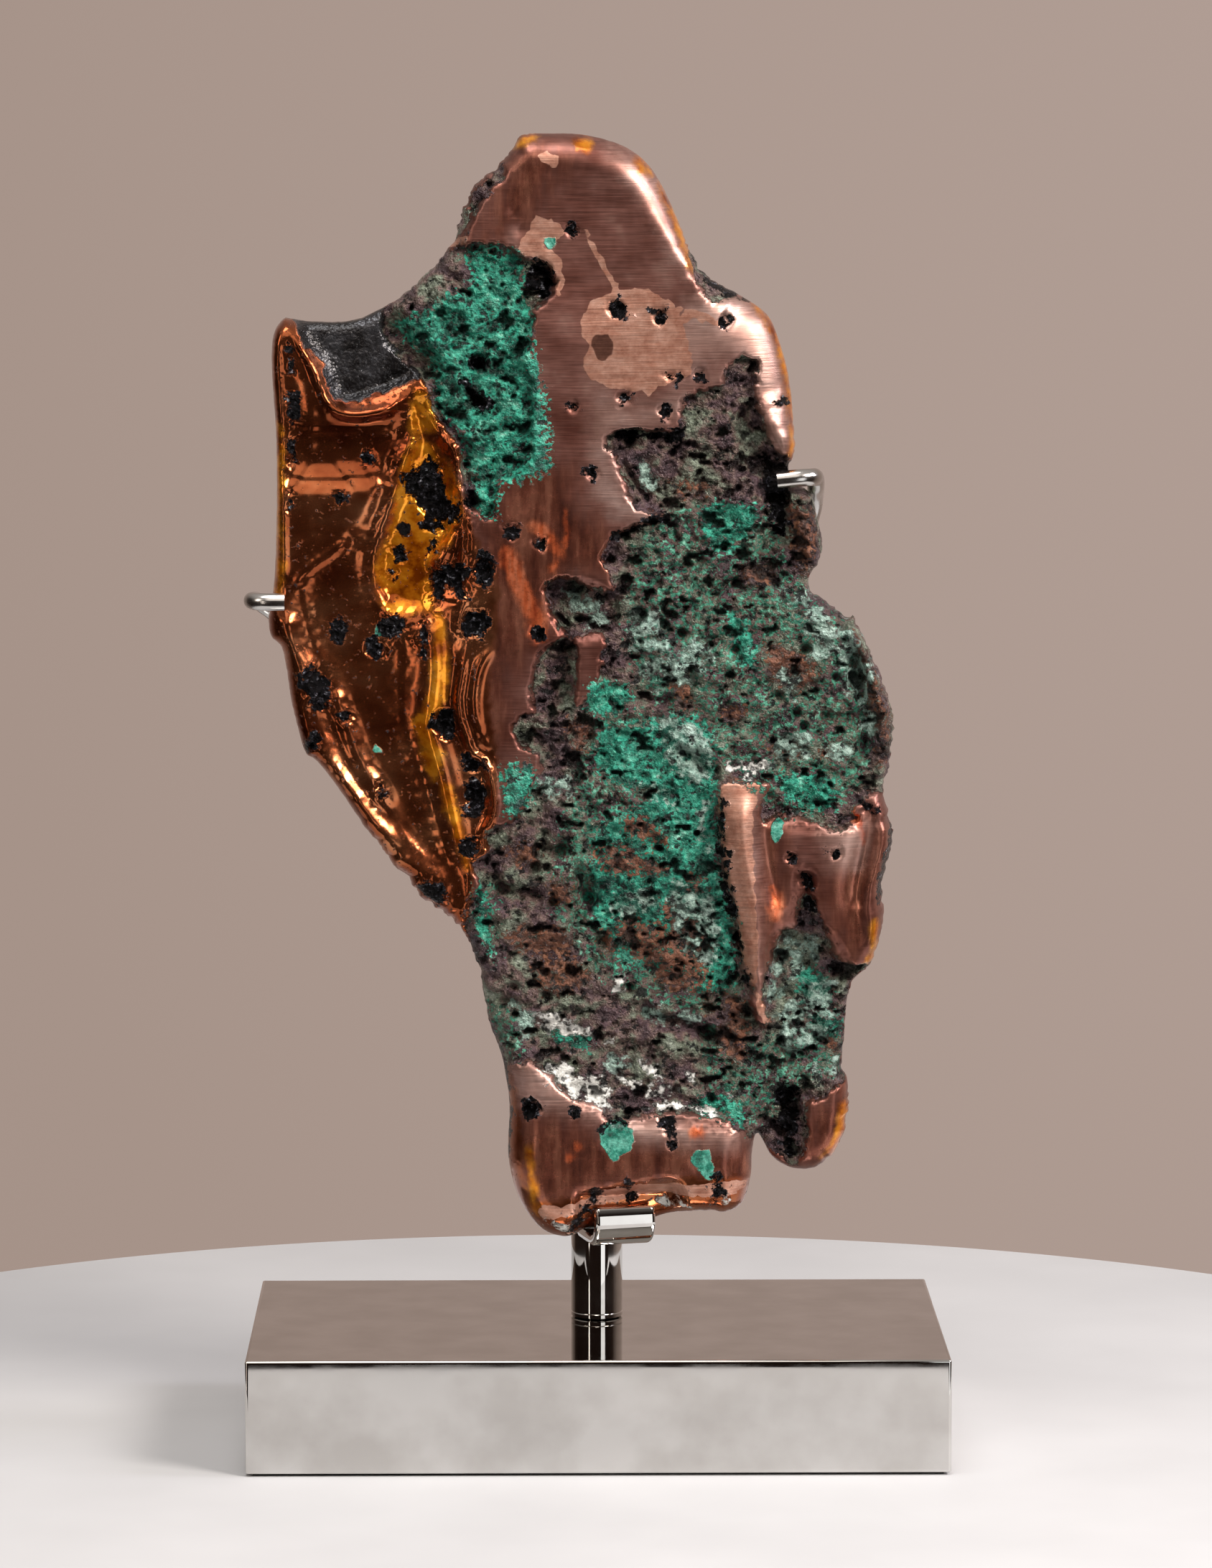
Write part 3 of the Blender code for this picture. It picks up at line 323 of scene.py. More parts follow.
    Zone(Skin.GREEN, "two", ((1, 267), (12.5, 268.5), (40, 270), (44.5, 246.5), (45, 217.5), (49.5, 201.5),
        (52, 180.5), (49, 169), (33.5, 167.5), (18, 175.5), (5, 179.5), (-1.5, 191.5), (-4.5, 209.5),
        (-3, 225.5), (2, 233.5), (18, 241), (7.5, 243.5), (-1.5, 250.5), (-2.5, 259.5))),
    Zone(Skin.GREEN, "top_teal", ((37, 347.5), (58, 348), (58.5, 337.5), (54, 333.5), (46, 327.5),
        (39.5, 332))),
    Zone(Skin.GREEN, "mid_teal", ((46, 307.5), (55.5, 305), (59.5, 288), (51.5, 286), (47, 296))),
    Zone(Skin.GREEN, "left_haze", ((-3, 284), (12.5, 281.5), (14, 274), (5, 268.5), (-4.5, 271))),
    Zone(Skin.GREEN, "haze", ((-34, 253), (-22.5, 254), (-22.5, 241), (-29, 232), (-34, 233.5),
        (-35.5, 244))),
    Zone(Skin.GREEN, "lower_right", ((71.5, 178), (83, 176.5), (87, 168.5), (83, 162), (74, 163.5))),
    Zone(Skin.GREEN, "lower_right2", ((76.5, 161), (89.5, 159.5), (89, 149), (80.5, 151.5))),
    Zone(Skin.GREEN, "upper_band", ((66, 250), (86.5, 249), (86.5, 236), (75, 234.5), (66, 241))),
    Zone(Skin.GREEN, "above_flange", ((33.5, 129), (46.5, 133), (54.5, 126.5), (55, 118), (46.5, 122.5),
        (36, 124.5))),
    Zone(Skin.GREEN, "streak", ((49, 165), (54.5, 159.5), (58.5, 150.5), (54.5, 151.5), (49.5, 159.5))),
    Zone(Skin.GREEN, "left_bits", ((-44.5, 209.5), (-39.5, 207), (-37, 183.5), (-42, 186), (-45, 194))),
    Zone(Skin.GREEN, "white_green", ((-18.5, 157), (-3, 154.5), (-0.5, 148), (-13.5, 148.5))),
    Zone(Skin.HAZE, "mid", ((-8, 270), (17.5, 273.5), (43.5, 270), (44, 246.5), (46.5, 204.5), (55.5, 165),
        (33.5, 159.5), (7.5, 167.5), (-11, 183.5), (-21.5, 204.5), (-16, 230.5), (-11, 249))),
    Zone(Skin.HAZE, "right", ((17.5, 342.5), (59, 348), (77.5, 316.5), (93, 303.5), (105, 269.5),
        (93, 235.5), (67, 233), (46.5, 249), (17.5, 275), (7.5, 306.5))),
    Zone(Skin.HAZE, "low", ((38.5, 162), (59.5, 154.5), (91, 165), (91, 138.5), (75.5, 130.5), (59.5, 117),
        (40, 125), (36, 144))),
    Zone(Skin.HAZE, "low_left", ((-45, 167.5), (-29, 165), (-24, 154.5), (-25.5, 144.5), (-34.5, 144),
        (-41.5, 157))),
    Zone(Skin.HAZE, "left", ((-44.5, 211), (-34.5, 209.5), (-33, 183.5), (-39.5, 178), (-46, 194))),
    Zone(Skin.PALE, "groove_b", ((66, 163.5), (85.5, 178), (88, 154), (75.5, 145), (66, 154.5))),
    Zone(Skin.PALE, "right_e", ((25.5, 296), (40, 298.5), (43.5, 288), (33.5, 280), (24, 283))),
    Zone(Skin.PALE, "mint", ((19, 270), (33.5, 270), (43, 259.5), (43, 247.5), (33.5, 243.5), (24.5, 254))),
    Zone(Skin.PALE, "mint_b", ((10, 247.5), (25.5, 246.5), (29.5, 237), (18, 238.5), (10.5, 241.5))),
    Zone(Skin.PALE, "mint_c", ((25.5, 211), (41, 209.5), (46.5, 194), (44, 178), (31, 183.5),
        (25.5, 196.5))),
    Zone(Skin.PALE, "mint_d", ((3.5, 205.5), (19, 209.5), (24.5, 199), (10, 194), (4.5, 198))),
    Zone(Skin.PALE, "right_b", ((85, 306), (95.5, 301), (102, 283), (97, 269.5), (88, 280))),
    Zone(Skin.PALE, "low_b", ((12.5, 165), (33.5, 163.5), (38.5, 157), (18, 157))),
    Zone(Skin.PALE, "low_c", ((-34.5, 166.5), (-22.5, 165), (-21.5, 152), (-30.5, 154.5))),
    Zone(Skin.PALE, "sheet", ((8, 308.5), (14, 311), (25.5, 307), (30, 300), (27.5, 279.5), (19, 278),
        (14, 283), (12, 294.5))),
    Zone(Skin.PALE, "facets", ((12.5, 361), (19, 363.5), (23.5, 358), (22.5, 350.5), (16.5, 350.5))),
    Zone(Skin.PALE, "pocket", ((-14.5, 317), (-3, 316), (5, 309), (5, 302.5), (-3, 301), (-9.5, 306.5))),
    Zone(Skin.PALE, "lower", ((64.5, 188), (73, 191.5), (81.5, 188.5), (83, 179.5), (75, 175.5),
        (71.5, 165), (66, 162), (61, 166), (61.5, 175.5))),
    Zone(Skin.PALE, "right_c", ((94.5, 273.5), (102, 272.5), (104, 262), (97, 259.5))),
    Zone(Skin.PALE, "right_d", ((65.5, 290.5), (75, 286.5), (73, 273.5), (64.5, 276.5))),
    Zone(Skin.PALE, "mid_g", ((44, 243.5), (40, 230.5), (44, 217.5), (37.5, 220), (34.5, 236))),
    Zone(Skin.PALE, "low_g", ((66, 162), (74, 159.5), (78, 146.5), (70, 143.5), (65, 151.5))),
    Zone(Skin.PALE, "bot", ((2, 146.5), (10, 148), (12.5, 140), (5, 138.5))),
    Zone(Skin.PALE, "right", ((69.5, 316.5), (81, 312.5), (87.5, 301), (85, 288), (76, 289.5), (72, 301),
        (68.5, 309))),
    Zone(Skin.PALE, "fan", ((46.5, 254), (63, 255.5), (64.5, 247.5), (45, 247))),
    Zone(Skin.PALE, "mid_right", ((64.5, 264.5), (77.5, 267), (80, 258), (70, 251.5), (62, 254))),
    Zone(Skin.PALE, "far_right", ((82.5, 259.5), (93, 262), (94.5, 251.5), (85.5, 250))),
    Zone(Skin.PALE, "left", ((-22.5, 247.5), (-11, 250.5), (-8, 241), (-18.5, 238.5))),
    Zone(Skin.PALE, "toe", ((78, 145), (89.5, 146.5), (89, 138.5), (80.5, 138.5))),
    # foot_a, foot_b, foot_c: painted glints of the table's reflection on the foot's lower edge.
    Zone(Skin.WHITE, "foot_a", ((-18.5, 86.5), (-10.5, 86.5), (-8, 82.5), (-11, 79.5), (-16.5, 82))),
    Zone(Skin.WHITE, "foot_b", ((18, 93), (25.5, 94.5), (35, 92), (31, 88), (22, 89))),
    Zone(Skin.WHITE, "foot_c", ((40, 93), (46.5, 95.5), (52, 94.5), (46.5, 90))),
    # by_flange, by_flange_b: painted glare on the crust above the flange.
    Zone(Skin.WHITE, "by_flange", ((-21, 142), (-8.5, 144), (5, 134), (6, 126.5), (1, 126), (-8.5, 130.5),
        (-16, 135.5))),
    Zone(Skin.WHITE, "by_flange_b", ((7.5, 126.5), (28.5, 129), (44, 126.5), (44, 123.5), (28.5, 125.5),
        (8, 123.5))),
    # a to j: painted glare on the lower crust where it faces the lights.
    Zone(Skin.WHITE, "a", ((-22, 162), (-8.5, 161), (0, 154.5), (-1, 150.5), (-11, 152), (-20, 154.5))),
    Zone(Skin.WHITE, "b", ((2, 152.5), (6.5, 153), (7, 149.5), (3.5, 148.5))),
    Zone(Skin.WHITE, "c", ((14, 143.5), (19, 147.5), (23, 143), (22, 138.5), (17, 139.5))),
    Zone(Skin.WHITE, "d", ((33, 138), (36.5, 138.5), (36, 133), (33.5, 134.5))),
    Zone(Skin.WHITE, "e", ((7.5, 138.5), (18, 136.5), (29.5, 137), (28.5, 130.5), (12.5, 130.5))),
    Zone(Skin.WHITE, "i", ((5, 175), (9, 175.5), (9.5, 169), (5.5, 169))),
    Zone(Skin.WHITE, "j", ((44, 134.5), (49.5, 133.5), (49, 130.5), (44.5, 131))),
    Zone(Skin.WHITE, "g", ((46.5, 253.5), (61.5, 255), (62.5, 248.5), (47, 247.5))),
    Zone(Skin.CHIP, "chip", ((0.5, 120), (3.5, 122.5), (11, 122.5), (12.5, 112.5), (8.5, 110.5), (6, 108),
        (3.5, 111.5), (1.5, 114.5))),
    Zone(Skin.CHIP, "chip2", ((33.5, 110.5), (40, 113), (42, 106.5), (42.5, 102), (39.5, 101),
        (36.5, 105.5))),
    Zone(Skin.CHIP, "fleck_a", ((-81.5, 258), (-80, 259.5), (-78, 258.5), (-79, 257), (-81, 256.5))),
    Zone(Skin.CHIP, "fleck_b", ((-79.5, 303.5), (-75.5, 305), (-74.5, 301.5), (-78, 299), (-80.5, 300))),
    Zone(Skin.CHIP, "fleck_c", ((-19, 441.5), (-16.5, 443), (-14.5, 441), (-16.5, 439), (-18.5, 439.5))),
    Zone(Skin.CHIP, "drip", ((63, 231), (66, 233), (67, 230), (66.5, 225.5), (64, 225))),
    Zone(Skin.RUST, "a", ((59.5, 297), (72, 296), (81.5, 288), (77.5, 279), (63, 280))),
    Zone(Skin.RUST, "b", ((77, 259.5), (85.5, 259), (86.5, 253.5), (79, 254))),
    Zone(Skin.RUST, "c", ((100.5, 259.5), (106, 258), (105, 250), (101, 252.5))),
    Zone(Skin.RUST, "d", ((51.5, 325.5), (64.5, 324.5), (65.5, 316.5), (52.5, 317))),
    Zone(Skin.RUST, "e", ((7, 233.5), (15, 235.5), (24.5, 230.5), (26, 222.5), (18, 222), (9.5, 225.5))),
    Zone(Skin.RUST, "f", ((-3.5, 221.5), (7.5, 225), (19, 220), (27, 217.5), (25.5, 211.5), (12.5, 210.5),
        (1, 213))),
    Zone(Skin.RUST, "p", ((12.5, 194), (25.5, 196.5), (33.5, 188.5), (32, 179.5), (21.5, 175.5),
        (14, 183.5))),
    Zone(Skin.RUST, "q", ((-0.5, 194), (7.5, 191.5), (7.5, 180.5), (1, 183.5))),
    Zone(Skin.RUST, "r", ((32, 213.5), (40, 211.5), (37.5, 201.5), (32, 204.5))),
    Zone(Skin.RUST, "s", ((44, 159.5), (54.5, 151.5), (53, 141), (44, 146.5))),
    Zone(Skin.RUST, "t", ((25.5, 288), (33.5, 285.5), (37, 272.5), (28, 273.5))),
    Zone(Skin.RUST, "u", ((83, 154), (89.5, 151.5), (88.5, 143.5), (83, 146.5))),
    Zone(Skin.RUST, "g", ((26.5, 357), (41, 355), (39.5, 349), (28, 350.5))),
    Zone(Skin.RUST, "h", ((12.5, 199), (21.5, 191), (24.5, 177), (15, 178), (5, 191.5))),
    Zone(Skin.RUST, "i", ((41.5, 175.5), (44, 165), (40, 159.5), (37.5, 167.5))),
    Zone(Skin.RUST, "j", ((44, 154.5), (54.5, 151.5), (54.5, 143.5), (46.5, 143.5))),
    Zone(Skin.RUST, "k", ((-34.5, 192.5), (-11, 194), (-8.5, 181), (-24, 181))),
    Zone(Skin.RUST, "l", ((-18.5, 211), (-8, 209.5), (-8.5, 202), (-17.5, 200.5))),
    Zone(Skin.RUST, "m", ((43.5, 273.5), (54, 275), (54, 267), (45, 267.5))),
    Zone(Skin.RUST, "n", ((67.5, 348.5), (76, 348), (80.5, 338.5), (79, 324.5), (72.5, 322), (69, 332))),
    Zone(Skin.RUST, "v", ((-34.5, 223), (-22.5, 225.5), (-18.5, 217.5), (-29, 213.5))),
    Zone(Skin.RUST, "w", ((-24, 181), (-8.5, 183.5), (-0.5, 173), (-13.5, 166.5), (-22.5, 171.5))),
    Zone(Skin.RUST, "x", ((21.5, 204.5), (33.5, 200.5), (41.5, 191), (40, 171.5), (28.5, 167.5),
        (19, 175.5), (24.5, 188.5))),
    Zone(Skin.RUST, "y", ((45, 169), (54.5, 166), (57.5, 151.5), (48, 150.5))),
    Zone(Skin.RUST, "z", ((59.5, 259.5), (72.5, 262), (77.5, 256.5), (67, 252))),
    Zone(Skin.RUST, "aa", ((-11, 270), (-0.5, 267), (-3, 257), (-11, 259.5))),
    Zone(Skin.RUST, "o", ((93, 303.5), (107.5, 269.5), (106, 254), (99.5, 267), (93, 288))),
    Zone(Skin.DARK, "seam_a", ((10.5, 100), (13, 100.5), (12.5, 92), (10, 91.5))),
    Zone(Skin.DARK, "seam_c", ((42.5, 102.5), (45.5, 102.5), (45, 93.5), (42, 93))),
    Zone(Skin.DARK, "amber_a", ((-70.5, 356.5), (-66.5, 358), (-60, 363.5), (-56.5, 361), (-55.5, 354),
        (-50, 345), (-51, 339.5), (-56, 339.5), (-64, 345.5), (-67.5, 350.5))),
    Zone(Skin.DARK, "amber_a2", ((-64.5, 340.5), (-60, 342), (-54, 339), (-55, 336.5), (-62.5, 337))),
    Zone(Skin.DARK, "amber_b", ((-73.5, 331), (-70.5, 332), (-68.5, 328), (-71, 325.5), (-73.5, 327))),
    Zone(Skin.DARK, "amber_c", ((-60.5, 324.5), (-53.5, 325), (-45.5, 324.5), (-45.5, 321.5),
        (-48.5, 318.5), (-46.5, 314.5), (-49.5, 313.5), (-55, 318), (-56, 312), (-59, 313.5),
        (-60.5, 319.5))),
    Zone(Skin.DARK, "oval_a", ((-44.5, 326), (-41, 330), (-37.5, 328), (-37.5, 322.5), (-40.5, 318),
        (-44, 318), (-45, 322))),
    Zone(Skin.DARK, "oval_b", ((-49.5, 303.5), (-45.5, 309), (-40.5, 309.5), (-38, 305.5), (-40, 299.5),
        (-44.5, 298.5), (-48.5, 300.5))),
    Zone(Skin.DARK, "oval_c", ((-60.5, 267), (-57.5, 272.5), (-53.5, 274), (-51.5, 270), (-53, 262),
        (-56, 262.5), (-59, 266))),
    Zone(Skin.DARK, "oval_d", ((-49, 256), (-43, 255), (-40.5, 252.5), (-43, 249.5), (-46, 250.5))),
    Zone(Skin.DARK, "oval_e", ((-48, 240.5), (-47, 246), (-44.5, 249), (-41, 246.5), (-40, 241.5),
        (-41.5, 236.5), (-46, 233.5), (-48.5, 236))),
    Zone(Skin.DARK, "oval_f", ((-50, 222.5), (-46, 227), (-43.5, 225), (-44, 220), (-47.5, 218.5))),
    Zone(Skin.DARK, "groove_a", ((-111.5, 404.5), (-110, 405), (-109, 395.5), (-111, 394))),
    Zone(Skin.DARK, "groove_b", ((-111.5, 386), (-108.5, 386.5), (-108, 377.5), (-110.5, 375.5))),
    Zone(Skin.DARK, "groove_c", ((-111.5, 370), (-108.5, 370.5), (-109, 363), (-111, 362))),
    Zone(Skin.DARK, "groove_d", ((-112, 350.5), (-110, 351), (-109.5, 345), (-111.5, 344.5))),
    Zone(Skin.DARK, "window_a", ((-94.5, 350.5), (-92, 351.5), (-90.5, 349), (-93, 347.5))),
    Zone(Skin.DARK, "window_b", ((-84.5, 366), (-82.5, 367), (-82, 363.5), (-84, 363))),
    Zone(Skin.DARK, "bowl_a", ((-71.5, 339), (-68.5, 340), (-67.5, 337), (-70, 335.5))),
    Zone(Skin.DARK, "bowl_b", ((-76, 322), (-72.5, 323), (-71.5, 321), (-75, 320))),
    Zone(Skin.DARK, "bowl_c", ((-60, 332.5), (-58.5, 334.5), (-57, 332), (-59, 329.5))),
    Zone(Skin.DARK, "left_a", ((-95.5, 303.5), (-93, 305.5), (-91, 303), (-91, 297), (-93.5, 296.5),
        (-95, 299.5))),
    Zone(Skin.DARK, "left_b", ((-84, 296.5), (-79.5, 298.5), (-76.5, 294), (-77.5, 290.5), (-82, 292))),
    Zone(Skin.DARK, "left_c", ((-64.5, 303.5), (-62, 304.5), (-61, 300.5), (-62, 293), (-64, 294.5))),
    Zone(Skin.DARK, "left_d", ((-78, 304.5), (-72.5, 306), (-70, 301), (-74.5, 298.5), (-78.5, 299))),
    Zone(Skin.DARK, "rim_a", ((-108, 285.5), (-101.5, 288), (-97.5, 283), (-97.5, 274), (-102.5, 272.5),
        (-106.5, 279))),
    Zone(Skin.DARK, "rim_b", ((-105.5, 261.5), (-102, 265.5), (-100, 261), (-102, 256.5), (-105, 257.5))),
    Zone(Skin.DARK, "rim_c", ((-81, 245), (-77.5, 246.5), (-77, 241), (-79.5, 239.5))),
    Zone(Skin.DARK, "rim_d", ((-94, 270.5), (-90, 272), (-89, 269), (-92, 267))),
    Zone(Skin.DARK, "rim_e", ((-63, 210.5), (-57, 210), (-54.5, 203), (-59, 202), (-63, 205))),
    # rim_f: painted shade down the flange's left side.
    Zone(Skin.DARK, "rim_f", ((-34.5, 144), (-31.5, 138.5), (-31, 112), (-33, 107), (-34.5, 112))),
    Zone(Skin.DARK, "crown_a", ((4, 419.5), (8, 420.5), (10, 417), (8.5, 414), (5, 414))),
    Zone(Skin.DARK, "crown_b", ((19.5, 417), (24.5, 418), (25, 413.5), (21.5, 412.5))),
    Zone(Skin.DARK, "crown_c", ((43.5, 413), (46, 415.5), (48.5, 416), (48.5, 413), (45.5, 410.5))),
    Zone(Skin.DARK, "crown_d", ((7.5, 386), (9.5, 388), (12.5, 386.5), (12, 384), (8, 383.5))),
    Zone(Skin.DARK, "crown_e", ((22.5, 383), (24, 384), (26, 381), (25.5, 378), (23, 378.5))),
    Zone(Skin.DARK, "crown_f", ((-11.5, 446), (-9.5, 448), (-7.5, 447), (-8, 444), (-10.5, 443.5))),
    Zone(Skin.DARK, "crown_g", ((-10.5, 383), (-8.5, 384), (-6.5, 383), (-8.5, 381), (-10.5, 381.5))),
    Zone(Skin.DARK, "crown_h", ((23, 394.5), (30.5, 394.5), (31, 392), (26, 391.5))),
    Zone(Skin.DARK, "crown_i", ((35, 395), (38.5, 396), (39, 391.5), (35.5, 391.5))),
    Zone(Skin.DARK, "crown_j", ((-4, 360.5), (0, 360), (0.5, 357), (-3, 357))),
    Zone(Skin.DARK, "shoulder", ((64, 383.5), (68, 386), (69, 384.5), (65.5, 382.5))),
    Zone(Skin.DARK, "mid_a", ((-33.5, 339), (-30, 340.5), (-27, 338), (-29.5, 334.5), (-32.5, 335.5))),
    Zone(Skin.DARK, "mid_b", ((-48, 349), (-45.5, 351), (-43.5, 348), (-45.5, 345), (-48, 346.5))),
    Zone(Skin.DARK, "mid_c", ((-23, 335), (-19.5, 336), (-17.5, 333.5), (-20, 330.5), (-22.5, 332))),
    Zone(Skin.DARK, "mid_d", ((-23.5, 302.5), (-21, 303), (-19.5, 300.5), (-21, 297.5), (-23.5, 299))),
    Zone(Skin.DARK, "flange_pit", ((-27.5, 130), (-24.5, 131.5), (-21, 129.5), (-20, 125.5), (-23.5, 123),
        (-26.5, 125))),
    Zone(Skin.DARK, "flange_b", ((-10, 126.5), (-7, 127.5), (-5, 125.5), (-7.5, 123), (-9.5, 124))),
    Zone(Skin.DARK, "flange_c", ((24, 123.5), (28, 123.5), (29, 114.5), (26, 113.5))),
    Zone(Skin.DARK, "flange_crease", ((-1, 98.5), (1, 96), (-5, 85.5), (-8.5, 79.5), (-11, 81.5),
        (-5, 91.5))),
    Zone(Skin.DARK, "chip_edge", ((0.5, 122.5), (11.5, 123.5), (12, 121), (3.5, 121), (1.5, 118.5))),
    Zone(Skin.DARK, "patch_a", ((69.5, 222), (72, 221.5), (72.5, 217.5), (69.5, 216))),
    Zone(Skin.DARK, "patch_b", ((84.5, 222.5), (88.5, 223), (89, 219.5), (85.5, 219))),
    Zone(Skin.DARK, "patch_c", ((96.5, 238), (100, 238), (100, 235), (97, 235))),
    Zone(Skin.DARK, "patch_d", ((82, 222), (83.5, 222.5), (84, 220.5), (82, 220))),
    Zone(Skin.DARK, "patch_rim", ((105.5, 233.5), (109.5, 228), (106.5, 209.5), (103.5, 204), (101.5, 207),
        (103, 217.5), (106.5, 226.5))),
    # hook_gap: painted shadow in the recess behind the right hook.
    Zone(Skin.DARK, "hook_gap", ((60, 363), (65.5, 362), (70, 359.5), (69.5, 348), (69, 335), (64.5, 336),
        (61.5, 348))),
    Zone(Skin.DARK, "right_top", ((34.5, 437.5), (41, 430.5), (54, 421), (48, 421.5), (39.5, 426.5))),
    Zone(Skin.DARK, "toe_left", ((65.5, 123.5), (73.5, 125), (73.5, 117.5), (68, 116))),
    Zone(Skin.DARK, "toe_low", ((66.5, 113), (71.5, 114), (71, 108.5), (67.5, 110))),
    Zone(Skin.DARK, "patch_d2", ((73, 213), (76, 213.5), (79, 210.5), (78, 207), (74.5, 207.5))),
    Zone(Skin.DARK, "patch_e", ((74, 204.5), (77.5, 205), (79, 199.5), (75, 197.5))),
    Zone(Skin.DARK, "panel_edge", ((44.5, 236), (45.5, 239), (47, 217.5), (51, 191), (55.5, 174),
        (54, 173.5), (49.5, 191), (45.5, 215))),
    Zone(Skin.DARK, "plate_edge", ((7, 372.5), (20.5, 373), (31, 374), (30.5, 370.5), (17.5, 370.5),
        (8, 369.5))),
    Zone(Skin.DARK, "mid_crack", ((5, 337), (8, 338), (17.5, 341.5), (24, 343), (23.5, 340.5), (12.5, 337),
        (7, 333.5))),
    Zone(Skin.DARK, "toe_gap", ((63.5, 130.5), (70, 133.5), (74, 132.5), (73.5, 129), (67, 126.5))),
    # green_a: painted shade in a deep hole.
    Zone(Skin.DARK, "green_a", ((-47, 399), (-42, 401), (-38.5, 398), (-40, 395), (-45.5, 395.5))),
    Zone(Skin.DARK, "green_b", ((-49.5, 390), (-45.5, 392), (-38, 382.5), (-41, 380))),
    Zone(Skin.DARK, "knob", ((-25.5, 432.5), (-20.5, 434.5), (-16, 430), (-15.5, 424.5), (-19, 421),
        (-24, 425))),
)

FORMS = (
    Form("folds", -3, 12, ((-117, 415), (-108, 407.5), (-101, 395.5), (-93.5, 381.5), (-75, 383),
        (-60.5, 389), (-49.5, 368.5), (-48, 348), (-47, 322), (-49.5, 296), (-48.5, 270), (-37, 254),
        (-38, 230.5), (-46, 212.5), (-47.5, 194), (-70.5, 213.5), (-91.5, 244), (-105.5, 259.5),
        (-112, 283), (-119.5, 301.5), (-118.5, 374))),
    Form("hollow", -9, 12.5, ((-111, 415.5), (-101, 415), (-86.5, 415.5), (-77.5, 419), (-70, 412.5),
        (-60.5, 399.5), (-61, 394), (-70, 389), (-81.5, 386), (-90.5, 383.5), (-96, 387), (-99, 395.5),
        (-105, 403.5), (-108, 409.5))),
    Form("window", -4.2, 15, ((-110.5, 372.5), (-95.5, 374), (-73, 373.5), (-76.5, 363.5), (-79, 358),
        (-110.5, 357))),
    Form("bowl", -5.5, 13, ((-66, 384), (-57, 373.5), (-49.5, 363.5), (-48, 342.5), (-55, 327),
        (-60, 307.5), (-71.5, 307.5), (-79.5, 314), (-81, 330), (-74, 350.5), (-69, 366))),
    Form("dark_field", -2.5, 16, ((-105, 322), (-80.5, 332.5), (-75.5, 309), (-70.5, 296), (-70.5, 270),
        (-63, 244), (-55, 217.5), (-68, 223), (-86, 254.5), (-96.5, 283), (-104, 301))),
    Form("pocket_top", -2, 3, ((7, 370.5), (23, 372.5), (30.5, 363.5), (25.5, 346.5), (16.5, 346.5),
        (9.5, 357))),
    Form("pocket_mid", -4, 3, ((-17, 318), (-8, 320), (5, 314.5), (5.5, 302.5), (-8, 298.5), (-13.5, 301.5),
        (-16.5, 310))),
    Form("pocket_low", -3, 3, ((-19, 294.5), (-9.5, 296.5), (-8, 285.5), (-9.5, 275), (-18.5, 270.5),
        (-23.5, 277.5), (-21.5, 285.5))),
    Form("panel", 2, 5, ((44.5, 246.5), (62, 246.5), (61, 236), (66, 230.5), (93.5, 230.5), (103.5, 241),
        (107.5, 228), (102.5, 180.5), (85.5, 183), (75, 215), (71, 199), (64, 191), (60.5, 165), (56, 170),
        (51.5, 191), (45, 217.5))),
    Form("flange", 4.4, 13, ((-34.5, 148.5), (-22.5, 146.5), (-11, 137), (3.5, 128), (12.5, 123.5),
        (28.5, 123.5), (45.5, 122), (56.5, 116), (60, 85.5), (18, 80), (-19, 75), (-37, 112))),
    Form("hook_recess", -5.5, 8, ((52.5, 380), (59.5, 373.5), (65.5, 363.5), (70.5, 360.5), (70.5, 348),
        (72, 332), (77, 322), (77, 317), (67, 316.5), (58.5, 329.5), (62, 342.5), (58, 360.5),
        (52.5, 373.5))),
    Form("groove", -4, 6, ((66, 191), (83, 191), (91, 178), (88.5, 159.5), (88.5, 141), (72.5, 138.5),
        (60, 122.5), (59.5, 143.5), (64.5, 165), (61.5, 180.5))),
    Form("toe_hollow", -3, 4, ((62, 122.5), (66, 132), (75, 133), (75.5, 114.5), (70, 110.5),
        (63.5, 113.5))),
    Form("crown_dish", -1.6, 22, ((-34, 451), (-18.5, 466), (7.5, 461), (17.5, 443), (12.5, 420),
        (-13.5, 417.5), (-28.5, 430.5))),
)

